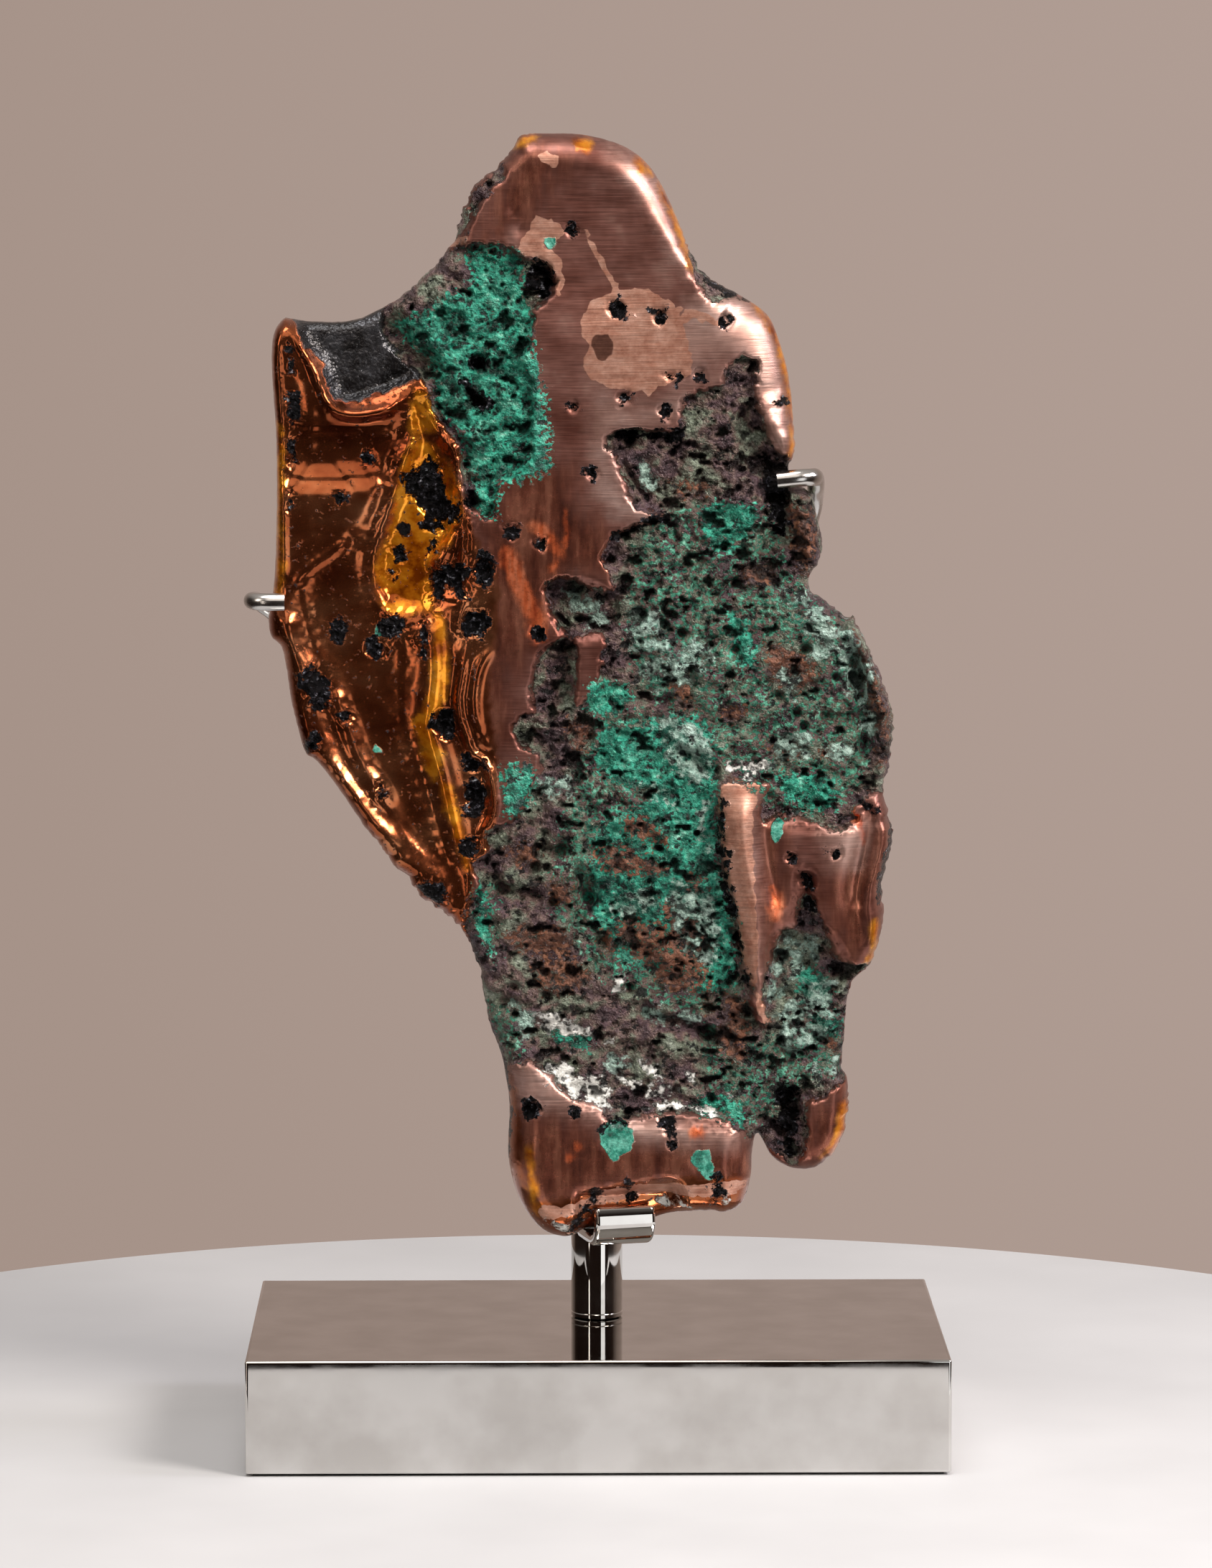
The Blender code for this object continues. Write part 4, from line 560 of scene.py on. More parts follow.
RIDGES = (
    Ridge("hollow_lip", 3.6, 2, ((-110, 412), (-106.5, 404.5), (-103.5, 399.5), (-101, 394.5), (-98.5, 388),
        (-96, 383.5), (-92, 380.5), (-85.5, 379.5), (-76.5, 381), (-72, 383.5))),
    Ridge("hollow_inner", -2, 2.2, ((-93.5, 386), (-85.5, 387), (-75, 390.5), (-66, 394.5))),
    Ridge("rim_roll", 2, 2.2, ((-114.5, 412), (-116, 402), (-116, 389), (-114.5, 376.5), (-114.5, 363.5),
        (-114.5, 348), (-114.5, 327), (-115.5, 316.5))),
    Ridge("second_ridge", 0.9, 2.6, ((-112, 412.5), (-110, 402), (-106.5, 394.5), (-104, 388), (-103, 381),
        (-103.5, 371), (-104.5, 363.5))),
    Ridge("crease_a", -1.3, 3.6, ((-72, 380), (-72.5, 368.5), (-75.5, 355.5), (-80, 344), (-86, 335.5),
        (-92, 331))),
    Ridge("bowl_rim", 1.7, 2.6, ((-63.5, 372.5), (-68.5, 366.5), (-72, 359.5), (-74, 350.5), (-77.5, 339),
        (-81, 327), (-80, 314), (-74, 306), (-65, 307.5))),
    Ridge("bowl_right", 3, 3, ((-56.5, 373.5), (-51.5, 363.5), (-51, 350.5), (-51.5, 337.5), (-56, 328.5),
        (-60, 322))),
    Ridge("branch", 1.5, 2.2, ((-88.5, 334.5), (-93.5, 331.5), (-97.5, 328.5), (-102, 325.5),
        (-106.5, 321.5), (-109, 316.5))),
    Ridge("pink_a", 1.6, 1.4, ((-49, 356), (-48, 342.5), (-48.5, 331), (-49, 323.5))),
    Ridge("pink_b", 1.2, 1.5, ((-45.5, 348), (-45.5, 337.5), (-45, 328.5))),
    Ridge("pink_c", 1.5, 1.7, ((-47, 313.5), (-49, 308.5), (-50.5, 300.5))),
    Ridge("pink_d", 2.2, 1.6, ((-47.5, 298), (-48.5, 288), (-50, 277.5), (-49.5, 270.5), (-47.5, 263.5),
        (-45, 257), (-42, 255), (-39.5, 251.5), (-38, 246), (-37, 239), (-38, 233.5), (-40.5, 229.5),
        (-43.5, 226))),
    Ridge("pink_e", 1.3, 2, ((-37.5, 296), (-42.5, 288), (-44.5, 276.5), (-43.5, 267.5), (-41, 261.5),
        (-38, 258))),
    Ridge("tan_fold", 2.2, 4.2, ((-60.5, 309), (-58.5, 288), (-60, 267.5), (-55.5, 249), (-52, 230.5),
        (-47.5, 213.5))),
    Ridge("lower_s1", 1.7, 3.4, ((-96, 281.5), (-94, 274), (-90.5, 266), (-88, 257.5), (-84.5, 250.5),
        (-80, 244), (-74.5, 236.5))),
    Ridge("lower_g1", -1.2, 3.4, ((-99.5, 280.5), (-97, 270), (-94, 261), (-90, 252), (-85, 244.5),
        (-78.5, 236), (-70.5, 227))),
    Ridge("lower_s2", 1.5, 4.6, ((-103.5, 270), (-98, 258), (-91.5, 248), (-83.5, 238), (-74.5, 228),
        (-67, 219), (-59, 210.5), (-50, 198.5))),
    Ridge("left_fold", 2.4, 3.5, ((-113, 309), (-110, 296), (-105.5, 285.5), (-101.5, 272.5))),
    Ridge("right_rim", 4.5, 3.2, ((90.5, 305.5), (95.5, 296), (101.5, 280), (104.5, 264.5), (104, 254),
        (101.5, 245))),
    Ridge("right_rim_groove", -6, 3, ((92, 296), (94.5, 286.5), (97, 276.5), (98, 267), (96.5, 254))),
    Ridge("shoulder_ridge", 1.3, 7, ((39.5, 424), (56.5, 417.5), (64, 402), (68, 384), (69, 366))),
    Ridge("sheet_edge", -3, 1.6, ((17, 277), (23, 275.5), (28, 277))),
    Ridge("facet_a", -2, 1, ((8.5, 363.5), (12.5, 357), (16.5, 350))),
    Ridge("facet_b", -2, 1, ((16.5, 348.5), (21, 351), (25.5, 352.5))),
    Ridge("panel_fold", -1.6, 3.4, ((63, 243.5), (61, 236), (61.5, 222.5), (64, 209.5), (68, 200.5))),
    Ridge("panel_swell", 3.6, 4.5, ((51.5, 245), (53, 222.5), (57, 201.5), (58.5, 180.5), (59.5, 165))),
    Ridge("patch_fold", 2.6, 3, ((102.5, 241), (104, 230.5), (101.5, 217.5), (98, 204), (100, 191),
        (98, 182))),
    Ridge("patch_valley", -2, 4, ((99, 239.5), (97, 226.5), (94.5, 212), (93.5, 199))),
    Ridge("toe_crack", -3, 1.6, ((71, 157.5), (74, 160), (77.5, 157.5))),
    Ridge("toe_crack_b", -3, 1.6, ((78.5, 153), (81, 151.5), (84.5, 150))),
    Ridge("toe_crack_c", -2.5, 1.5, ((66, 165.5), (68.5, 167.5), (72, 168))),
    Ridge("flange_crease", -3, 2.2, ((-0.5, 97.5), (-5, 88), (-9.5, 81))),
    Ridge("scratch_step", -1.5, 1.6, ((37.5, 154.5), (46.5, 152), (52, 150.5))),
    Ridge("black_a", -4.5, 2.4, ((12.5, 161), (25.5, 158.5), (37.5, 154.5), (45.5, 152.5))),
    Ridge("black_b", -4, 2.4, ((-37, 213.5), (-34.5, 207), (-25, 204.5), (-18.5, 203))),
    Ridge("black_c", -4.5, 2.6, ((-7, 216), (-4.5, 208.5), (-5, 199), (-8.5, 196.5))),
    Ridge("black_d", -4, 2.4, ((-22.5, 223), (-16, 220), (-9.5, 223))),
    Ridge("black_e", -4, 2.2, ((54, 322), (43.5, 315.5), (39.5, 313))),
    Ridge("black_f", -3.5, 2.2, ((25.5, 323), (33, 324.5), (39.5, 327))),
    Ridge("black_g", -3.5, 2, ((80, 271), (86.5, 269.5), (94.5, 271))),
    Ridge("black_h", -3.5, 1.8, ((28, 259.5), (34.5, 254), (40, 250))),
    Ridge("black_i", -3.5, 2.2, ((-50, 169), (-37, 166.5), (-29, 165))),
    Ridge("black_j", -3, 1.8, ((65, 151.5), (70, 146.5), (75.5, 143.5))),
)

BACK_RIDGES = (
    Ridge("spine", 3, 16, ((-12, 455), (-20, 400), (-40, 330), (-30, 262))),
    Ridge("right_swell", 2.5, 14, ((40, 385), (52, 330), (70, 280), (80, 235))),
    Ridge("left_furrow", -4, 8, ((-104, 395), (-90, 345), (-84, 300), (-70, 245))),
    Ridge("middle_furrow", -3.5, 9, ((10, 420), (20, 350), (44, 300), (50, 230), (36, 170))),
    Ridge("foot_furrow", -3, 7, ((-34, 150), (0, 142), (34, 148), (62, 140))),
)

# Hollows on the show side: x, z, radius and depth.
PITS = ((-43, 398, 3.4, 5.5), (-25, 428, 6.7, -2), (-24, 127.5, 3.4, 3), (6, 115, 5.2, 0.8),
    (37.5, 107, 3.9, 0.7), (-41, 324, 4.1, 2.5), (-44, 304.5, 4.9, 2.5), (-56, 268.5, 4.4, 2.5),
    (-44.5, 241.5, 4.9, 2.5), (-45, 252.5, 3.1, 1.1), (-46.5, 223, 3.1, 1.1), (-30, 451.5, 1.6, 0.8),
    (-27, 449.5, 1, 0.7), (-27.5, 445.5, 2.1, 0.8), (-9, 446, 2.1, 1.1), (-17, 441, 2.6, 0.7),
    (7, 417, 3.1, 1.2), (22.5, 415, 2.8, 1.1), (46, 413, 2.6, 1.2), (9.5, 386, 2.6, 1),
    (24.5, 381, 2.6, 1.2), (26.5, 393.5, 2.1, 0.9), (37, 394, 2.1, 1), (-8.5, 382, 2.1, 1.2),
    (-1.5, 358.5, 2.3, 1), (87, 221, 2.3, 1.2), (76.5, 211, 3.6, 2.6), (70, 219, 2.3, 1.2),
    (98, 236.5, 2.1, 0.9), (24, 303.5, 2.1, 4), (30.5, 300, 2.3, 4), (50, 294.5, 2.3, 3.5),
    (75.5, 294, 2.6, 4), (93, 284, 2.6, 4), (86.5, 284, 2.1, 3.5), (72.5, 271, 2.1, 3.5),
    (75, 266.5, 2.1, 4), (66, 277.5, 2.3, 3), (83, 167.5, 2.1, 1.1), (-3.5, 263.5, 3.1, 3.5),
    (-0.5, 220, 2.3, 3), (-34.5, 207, 3.1, 4), (-16, 202, 2.6, 4), (-3, 203, 2.6, 5),
    (-22.5, 214.5, 2.6, 4), (18, 163.5, 3.1, 4), (40, 153, 3.6, 5), (2, 188.5, 3.1, 4),
    (12.5, 170, 2.6, 3.5), (-30.5, 171.5, 2.3, 3), (-18.5, 167.5, 2.3, 3), (69, 132, 3.6, 3.5),
    (67.5, 117, 2.6, 3), (-60, 348, 5.7, 1.1), (-71.5, 328.5, 2.3, 0.7), (-52.5, 319, 5.2, 1.2),
    (-93.5, 300, 2.3, 0.7), (-81, 294.5, 3.1, 1.1), (-62.5, 299, 2.3, 0.9), (-102.5, 260, 2.3, 1),
    (-79, 244, 2.3, 1), (-92, 269, 1.8, 0.8), (-59, 206, 3.1, 1.2), (-30, 338, 2.6, 1.1),
    (-45.5, 348, 2.3, 1.1), (-20, 333, 2.1, 0.9), (-21, 300.5, 2.1, 0.9))


def smooth_route(points: Any, closed: bool = False, steps: int = 4) -> Array:
    """A Catmull-Rom curve through points.

    Args:
        points: The places that the curve passes through.
        closed: Whether the curve returns to its start.
        steps: Pieces between two places.

    Returns:
        One row for each place on the curve.
    """
    route = np.array(points, float)
    if closed:
        padded = np.vstack([route[-1:], route, route[:2]])
    else:
        padded = np.vstack([2 * route[0] - route[1], route, 2 * route[-1] - route[-2]])
    t = np.linspace(0, 1, steps, endpoint=False)[:, None]
    pieces = []
    for a, b, c, d in zip(padded, padded[1:], padded[2:], padded[3:]):
        curve = 2 * b + (c - a) * t + (2 * a - 5 * b + 4 * c - d) * t**2 + (3 * b - a - 3 * c + d) * t**3
        pieces.append(curve / 2)
    if not closed:
        pieces.append(route[-1:])
    return np.vstack(pieces)


def evenly_spaced(route: Array, step: float, closed: bool = False) -> tuple[Array, Array]:
    """Points a step apart along a route.

    Args:
        route: The route's places.
        step: The distance wanted between points.
        closed: Whether the route returns to its start.

    Returns:
        The points, and how far along the route each one is from 0 to 1.
    """
    if closed:
        route = np.vstack([route, route[:1]])
    length = np.concatenate([[0], np.cumsum(np.linalg.norm(np.diff(route, axis=0), axis=1))])
    count = max(2, round(length[-1] / step))
    along = np.linspace(0, length[-1], count, endpoint=not closed)
    spaced = np.stack([np.interp(along, length, route[:, i]) for i in range(route.shape[1])], axis=1)
    return spaced, along / length[-1]


def distance_to_route(points: Array, route: Array, closed: bool = False) -> tuple[Array, Array]:
    """Each point's distance to a polyline.

    Args:
        points: The places to measure from.
        route: The polyline.
        closed: Whether the polyline returns to its start.

    Returns:
        The distances, and the nearest place on the polyline counted in segments.
    """
    ends = np.roll(route, -1, axis=0) if closed else route[1:]
    starts = route if closed else route[:-1]
    nearest = np.full(len(points), np.inf)
    place = np.zeros(len(points))
    for index, (start, end) in enumerate(zip(starts, ends)):
        side = end - start
        t = np.clip(((points - start) @ side) / max(side @ side, 1e-9), 0, 1)
        distance = np.hypot(*(points - start - t[:, None] * side).T)
        closer = distance < nearest
        nearest[closer] = distance[closer]
        place[closer] = index + t[closer]
    return nearest, place


def inside_loop(points: Array, loop: Array) -> Array:
    """Whether each point lies inside a closed loop.

    Args:
        points: The places to test.
        loop: The loop's corners.

    Returns:
        One truth value for each point.
    """
    inside = np.zeros(len(points), bool)
    for start, end in zip(loop, np.roll(loop, -1, axis=0)):
        if start[1] == end[1]:
            continue
        spans = (start[1] > points[:, 1]) != (end[1] > points[:, 1])
        crossing = (end[0] - start[0]) * (points[:, 1] - start[1]) / (end[1] - start[1]) + start[0]
        inside ^= spans & (points[:, 0] < crossing)
    return inside


def depth_inside(points: Array, loop: Array, reach: float) -> Array:
    """Distance to a loop, positive inside it.

    Args:
        points: The places to measure.
        loop: The loop's corners.
        reach: The furthest outside that matters. Places beyond it give -reach.

    Returns:
        The signed distances.
    """
    low, high = loop.min(axis=0) - reach, loop.max(axis=0) + reach
    near = np.all((points > low) & (points < high), axis=1)
    depth = np.full(len(points), -reach)
    if near.any():
        distance, _ = distance_to_route(points[near], loop, closed=True)
        depth[near] = np.where(inside_loop(points[near], loop), distance, -np.minimum(distance, reach))
    return depth


def soft_step(value: Array) -> Array:
    """0 below 0, 1 above 1 and smooth between."""
    t = np.clip(value, 0, 1)
    return t * t * (3 - 2 * t)


def clouds(points: Array, size: tuple[float, float], seed: float, octaves: int = 2) -> Array:
    """Soft uneven noise between about -1 and 1.

    Args:
        points: The (x, z) places.
        size: Width and height of one lump.
        seed: Tells one noise from another.
        octaves: How many finer layers are added.

    Returns:
        One value for each place.
    """
    flat = points / np.array(size)
    return np.array([noise.fractal(Vector((x, z, seed)), 1.0, 2.0, octaves) for x, z in flat])


def grains(points: Array, size: float, seed: float) -> Array:
    """Rounded grains packed side by side.

    Args:
        points: The (x, z) places.
        size: Width of one grain.
        seed: Tells one packing from another.

    Returns:
        1 on the middle of a grain, falling towards 0 between grains.
    """
    flat = points / size
    reach = np.array([noise.voronoi(Vector((x, z, seed)))[0][0] for x, z in flat])
    return 1 - np.clip(reach, 0, 1) ** 2


@dataclass(frozen=True)
class Lumps:
    """Soft noise with its lump size in mm, its own seed and its number of finer layers."""

    size: tuple[float, float]
    seed: float
    octaves: int

    def at(self, points: Array) -> Array:
        """The noise at each (x, z) place, between about -1 and 1."""
        return clouds(points, self.size, self.seed, self.octaves)


@dataclass
class SlabOutline:
    """The nugget's outline as a closed row of points, with its rounding."""

    stretches: tuple[Stretch, ...] = RIM
    step: float = 1.0
    curve_steps: int = 8
    crumbs: Lumps = Lumps((3.2, 3.2), 5.5, 3)
    crumb_depth: float = 1.6
    points: Array = field(init=False)
    rounding: Array = field(init=False)
    tree: kdtree.KDTree = field(init=False)

    def __post_init__(self) -> None:
        """Works out the points, roughened where the rim is crusted."""
        corners = [point for stretch in self.stretches for point in stretch.points]
        curve = smooth_route(corners, closed=True, steps=self.curve_steps)
        self.points, along = evenly_spaced(curve, self.step, closed=True)
        self.rounding = self.spread([s.rounding for s in self.stretches for _ in s.points], along)
        rough = self.spread([s.rough for s in self.stretches for _ in s.points], along)
        bites = rough * np.abs(self.crumbs.at(self.points)) * self.crumb_depth
        self.points = self.points + self.inward() * bites[:, None]
        self.tree = kdtree.KDTree(len(self.points))
        for index, (x, z) in enumerate(self.points):
            self.tree.insert((x, 0, z), index)
        self.tree.balance()

    def spread(self, values: list[float], along: Array) -> Array:
        """Corner values as a smooth run of values along the outline.

        Args:
            values: One value for each corner.
            along: How far along each outline point is.

        Returns:
            One value for each outline point.
        """
        fine = np.repeat(np.array(values, float), self.curve_steps)
        width = 2 * self.curve_steps + 1
        padded = np.pad(fine, width, mode="wrap")
        blended = np.convolve(padded, np.ones(width) / width, mode="same")[width:-width]
        return blended[np.round(along * len(blended)).astype(int) % len(blended)]

    def inward(self) -> Array:
        """The direction into the slab at each outline point.

        Returns:
            Unit vectors in x and z.
        """
        along = np.roll(self.points, -1, axis=0) - np.roll(self.points, 1, axis=0)
        normal = np.stack([along[:, 1], -along[:, 0]], axis=1)
        return normal / np.linalg.norm(normal, axis=1)[:, None]

    def nearest(self, points: Array) -> tuple[Array, Array]:
        """Distance from each point to the outline.

        Args:
            points: The (x, z) places.

        Returns:
            The distances, and the index of the nearest outline point.
        """
        index = np.array([self.tree.find((x, 0, z))[1] for x, z in points])
        best = np.full(len(points), np.inf)
        count = len(self.points)
        for shift in (-1, 0):
            start = self.points[(index + shift) % count]
            side = self.points[(index + shift + 1) % count] - start
            t = np.clip(((points - start) * side).sum(axis=1) / (side * side).sum(axis=1), 0, 1)
            best = np.minimum(best, np.hypot(*(points - start - t[:, None] * side).T))
        return best, index

    def rise(self, points: Array) -> Array:
        """How much of the full thickness each point has, from 0 at the outline to 1 inside.

        Args:
            points: The (x, z) places.

        Returns:
            One share for each place.
        """
        distance, index = self.nearest(points)
        t = np.clip(distance / self.rounding[index], 0, 1)
        return np.sqrt(1 - (1 - t) ** 2)


@dataclass
class ShowSide:
    """Heights and skins of the nugget's front, over the plane of its outline."""

    outline: SlabOutline
    depth: float = 15.0
    thinnest: float = 2.5
    crust_drop: float = 4.2
    crust_lump: float = 2.2
    crust_knob: float = 1.5
    crust_grain: float = 0.9
    hole_depth: float = 3.2
    small_hole_depth: float = 1.2
    oxide_grain: float = 0.9
    oxide_knob: float = 1.3
    oxide_drop: float = 0.5
    hammer_dent: float = 0.35
    ragged_edge: float = 1.3
    edge_wobble: Lumps = Lumps((3.0, 3.0), 2.1, 3)
    lumps: Lumps = Lumps((14, 11), 3.7, 2)
    knobs: Lumps = Lumps((5.4, 4.2), 6.3, 4)
    oxide_knobs: Lumps = Lumps((2.6, 2.2), 31.4, 2)
    open_patches: Lumps = Lumps((38, 42), 71.3, 2)
    holes: Lumps = Lumps((7.5, 5.0), 12.3, 3)
    small_holes: Lumps = Lumps((3.0, 2.3), 15.8, 2)

    def covers(self, points: Array) -> dict[Skin, Array]:
        """How far each point lies in each skin.

        Args:
            points: The (x, z) places.

        Returns:
            For each skin a value from 0 to 1, which passes 0.5 at the skin's edge.
        """
        wobble = self.ragged_edge * self.edge_wobble.at(points)
        covers = {skin: np.zeros(len(points)) for skin in Skin}
        for zone in ZONES:
            reach = zone.skin.edge
            loop = smooth_route(zone.points, closed=True, steps=3)
            depth = depth_inside(points, loop, 3 * reach + self.ragged_edge)
            value = np.clip(0.5 + (depth + wobble) / (2 * reach), 0, 1)
            covers[zone.skin] = np.maximum(covers[zone.skin], value)
        covers[Skin.CRUST] = np.minimum(covers[Skin.CRUST], 1 - covers[Skin.PLATE])
        return covers

    def heights(self, points: Array, covers: dict[Skin, Array]) -> tuple[Array, Array]:
        """Height over the outline's plane before the edge is rounded.

        Args:
            points: The (x, z) places.
            covers: The skins at those places.

        Returns:
            The heights, and how deep in a hole or between grains each point is from 0 to 1.
        """
        crust = soft_step((covers[Skin.CRUST] - 0.5) * 2.2 + 0.45)
        height = np.full(len(points), self.depth) - self.crust_drop * crust
        for form in FORMS:
            loop = smooth_route(form.points, closed=True, steps=3)
            height += form.height * soft_step(depth_inside(points, loop, form.border) / form.border + 0.5)
        for ridge in RIDGES:
            height += self.along_ridge(points, ridge)
        for x, z, radius, depth in PITS:
            far = np.hypot(points[:, 0] - x, points[:, 1] - z) / radius
            height -= depth * soft_step(1.25 - far)
        rough, hollow = self.roughness(points, crust, covers[Skin.GREEN])
        dark = soft_step((covers[Skin.DARK] - 0.5) * 2 + 0.5) * (1 - crust)
        fine = grains(points, 1.7, 4.4)
        knobs = self.oxide_knobs.at(points)
        height += dark * (self.oxide_grain * (fine - 0.6) + self.oxide_knob * knobs - self.oxide_drop)
        height += self.hammer_dent * soft_step(covers[Skin.HAMMERED]) * (grains(points, 2.4, 8.2) - 0.5)
        return height + rough, np.clip(hollow + 0.5 * dark * soft_step(-3 * knobs), 0, 1)

    def roughness(self, points: Array, crust: Array, green: Array) -> tuple[Array, Array]:
        """The crust's own lumps, knobs, grains and holes.

        Args:
            points: The (x, z) places.
            crust: How far each place is in the crust.
            green: How green each place is. The green crust is finer and has few holes.

        Returns:
            The added height, and how hollow each place is.
        """
        lump = self.crust_lump * self.lumps.at(points)
        knob = self.crust_knob * self.knobs.at(points)
        grain = grains(points, 2.3, 1.9)
        open_crust = np.clip(0.5 + 1.1 * self.open_patches.at(points) - 0.35 * green, 0, 1)
        hole = soft_step((self.holes.at(points) - 0.52 + 0.34 * open_crust) / 0.14)
        small = soft_step((self.small_holes.at(points) - 0.42 + 0.2 * open_crust) / 0.16)
        added = lump + knob + self.crust_grain * (grain - 0.6)
        added -= self.hole_depth * hole + self.small_hole_depth * small
        hollow = 0.9 * hole + 0.7 * small + 0.45 * soft_step(-1.6 * knob / self.crust_knob)
        return crust * added, crust * np.clip(hollow, 0, 1)

    def along_ridge(self, points: Array, ridge: Ridge) -> Array:
        """Height that a ridge or groove adds, fading at its ends.

        Args:
            points: The (x, z) places.
            ridge: The ridge or groove.

        Returns:
            The added heights.
        """
        route = smooth_route(ridge.points, steps=4)
        reach = 2.6 * ridge.width
        near = np.all((points > route.min(axis=0) - reach) & (points < route.max(axis=0) + reach), axis=1)
        added = np.zeros(len(points))
        distance, place = distance_to_route(points[near], route)
        along = place / (len(route) - 1)
        fade = soft_step(np.minimum(along, 1 - along) * 6 + 0.2)
        added[near] = ridge.height * fade * np.exp(-((distance / ridge.width) ** 2))
        return added


@dataclass
class HiddenSide:
    """Heights and skins of the nugget's back: plates of rubbed copper between furrows of crust."""

    outline: SlabOutline
    depth: float = 12.0
    room: float = 1.5
    thinnest: float = 2.5
    swell_height: float = 1.2
    crust_drop: float = 1.2
    dark_drop: float = 1.2
    knob_height: float = 1.1
    grain_height: float = 0.7
    swells: Lumps = Lumps((34, 48), 9.1, 2)
    knobs: Lumps = Lumps((6.5, 5.5), 17.7, 3)
    fields: Lumps = Lumps((46, 60), 21.7, 3)
    patches: Lumps = Lumps((16, 20), 33.1, 3)
    green: Lumps = Lumps((22, 26), 41.3, 3)
    pale: Lumps = Lumps((12, 14), 47.9, 2)
    rust: Lumps = Lumps((14, 12), 53.5, 2)
    dark: Lumps = Lumps((9, 8), 59.2, 2)

    def covers(self, points: Array) -> dict[Skin, Array]:
        """How far each point lies in each skin, as on the show side.

        Args:
            points: The (x, z) places.

        Returns:
            For each skin a value from 0 to 1.
        """
        distance, _ = self.outline.nearest(points)
        patches = self.patches.at(points)
        crust = np.clip(0.5 + 2.2 * (self.fields.at(points) + 0.5 * patches + 0.05), 0, 1)
        covers = {skin: np.zeros(len(points)) for skin in Skin}
        covers[Skin.CRUST] = crust
        covers[Skin.GREEN] = crust * np.clip(0.5 + 2.0 * self.green.at(points), 0, 1)
        covers[Skin.PALE] = crust * np.clip(0.2 + 1.8 * self.pale.at(points), 0, 1)
        covers[Skin.RUST] = np.clip(0.1 + 1.8 * self.rust.at(points), 0, 1)
        covers[Skin.DARK] = np.clip(0.5 + 6 * (self.dark.at(points) - 0.42), 0, 1)
        covers[Skin.AMBER_AND_EDGE_HIGHLIGHT] = np.clip(0.8 - distance / 5, 0, 1) * np.clip(1.2 * patches + 0.5, 0, 1)
        return covers

    def heights(self, points: Array, covers: dict[Skin, Array]) -> tuple[Array, Array]:
        """Height over the outline's plane, and how hollow each place is, as on the show side.

        Args:
            points: The (x, z) places.
            covers: The skins at those places.

        Returns:
            The heights, and the hollowness from 0 to 1.
        """
        crust = soft_step(covers[Skin.CRUST])
        height = self.depth + self.swell_height * self.swells.at(points) - self.crust_drop * crust
        for ridge in BACK_RIDGES:
            distance, _ = distance_to_route(points, smooth_route(ridge.points))
            height += ridge.height * np.exp(-((distance / ridge.width) ** 2))
        knob = self.knobs.at(points)
        grain = grains(points, 3.4, 2.9)
        height += crust * (self.knob_height * knob + self.grain_height * (grain - 0.6))
        height -= self.dark_drop * soft_step(covers[Skin.DARK])
        hollow = crust * (0.55 * (1 - grain) + 0.4 * soft_step(-2 * knob)) + 0.5 * covers[Skin.DARK]
        return np.minimum(height, self.depth + self.room), np.clip(hollow, 0, 1)


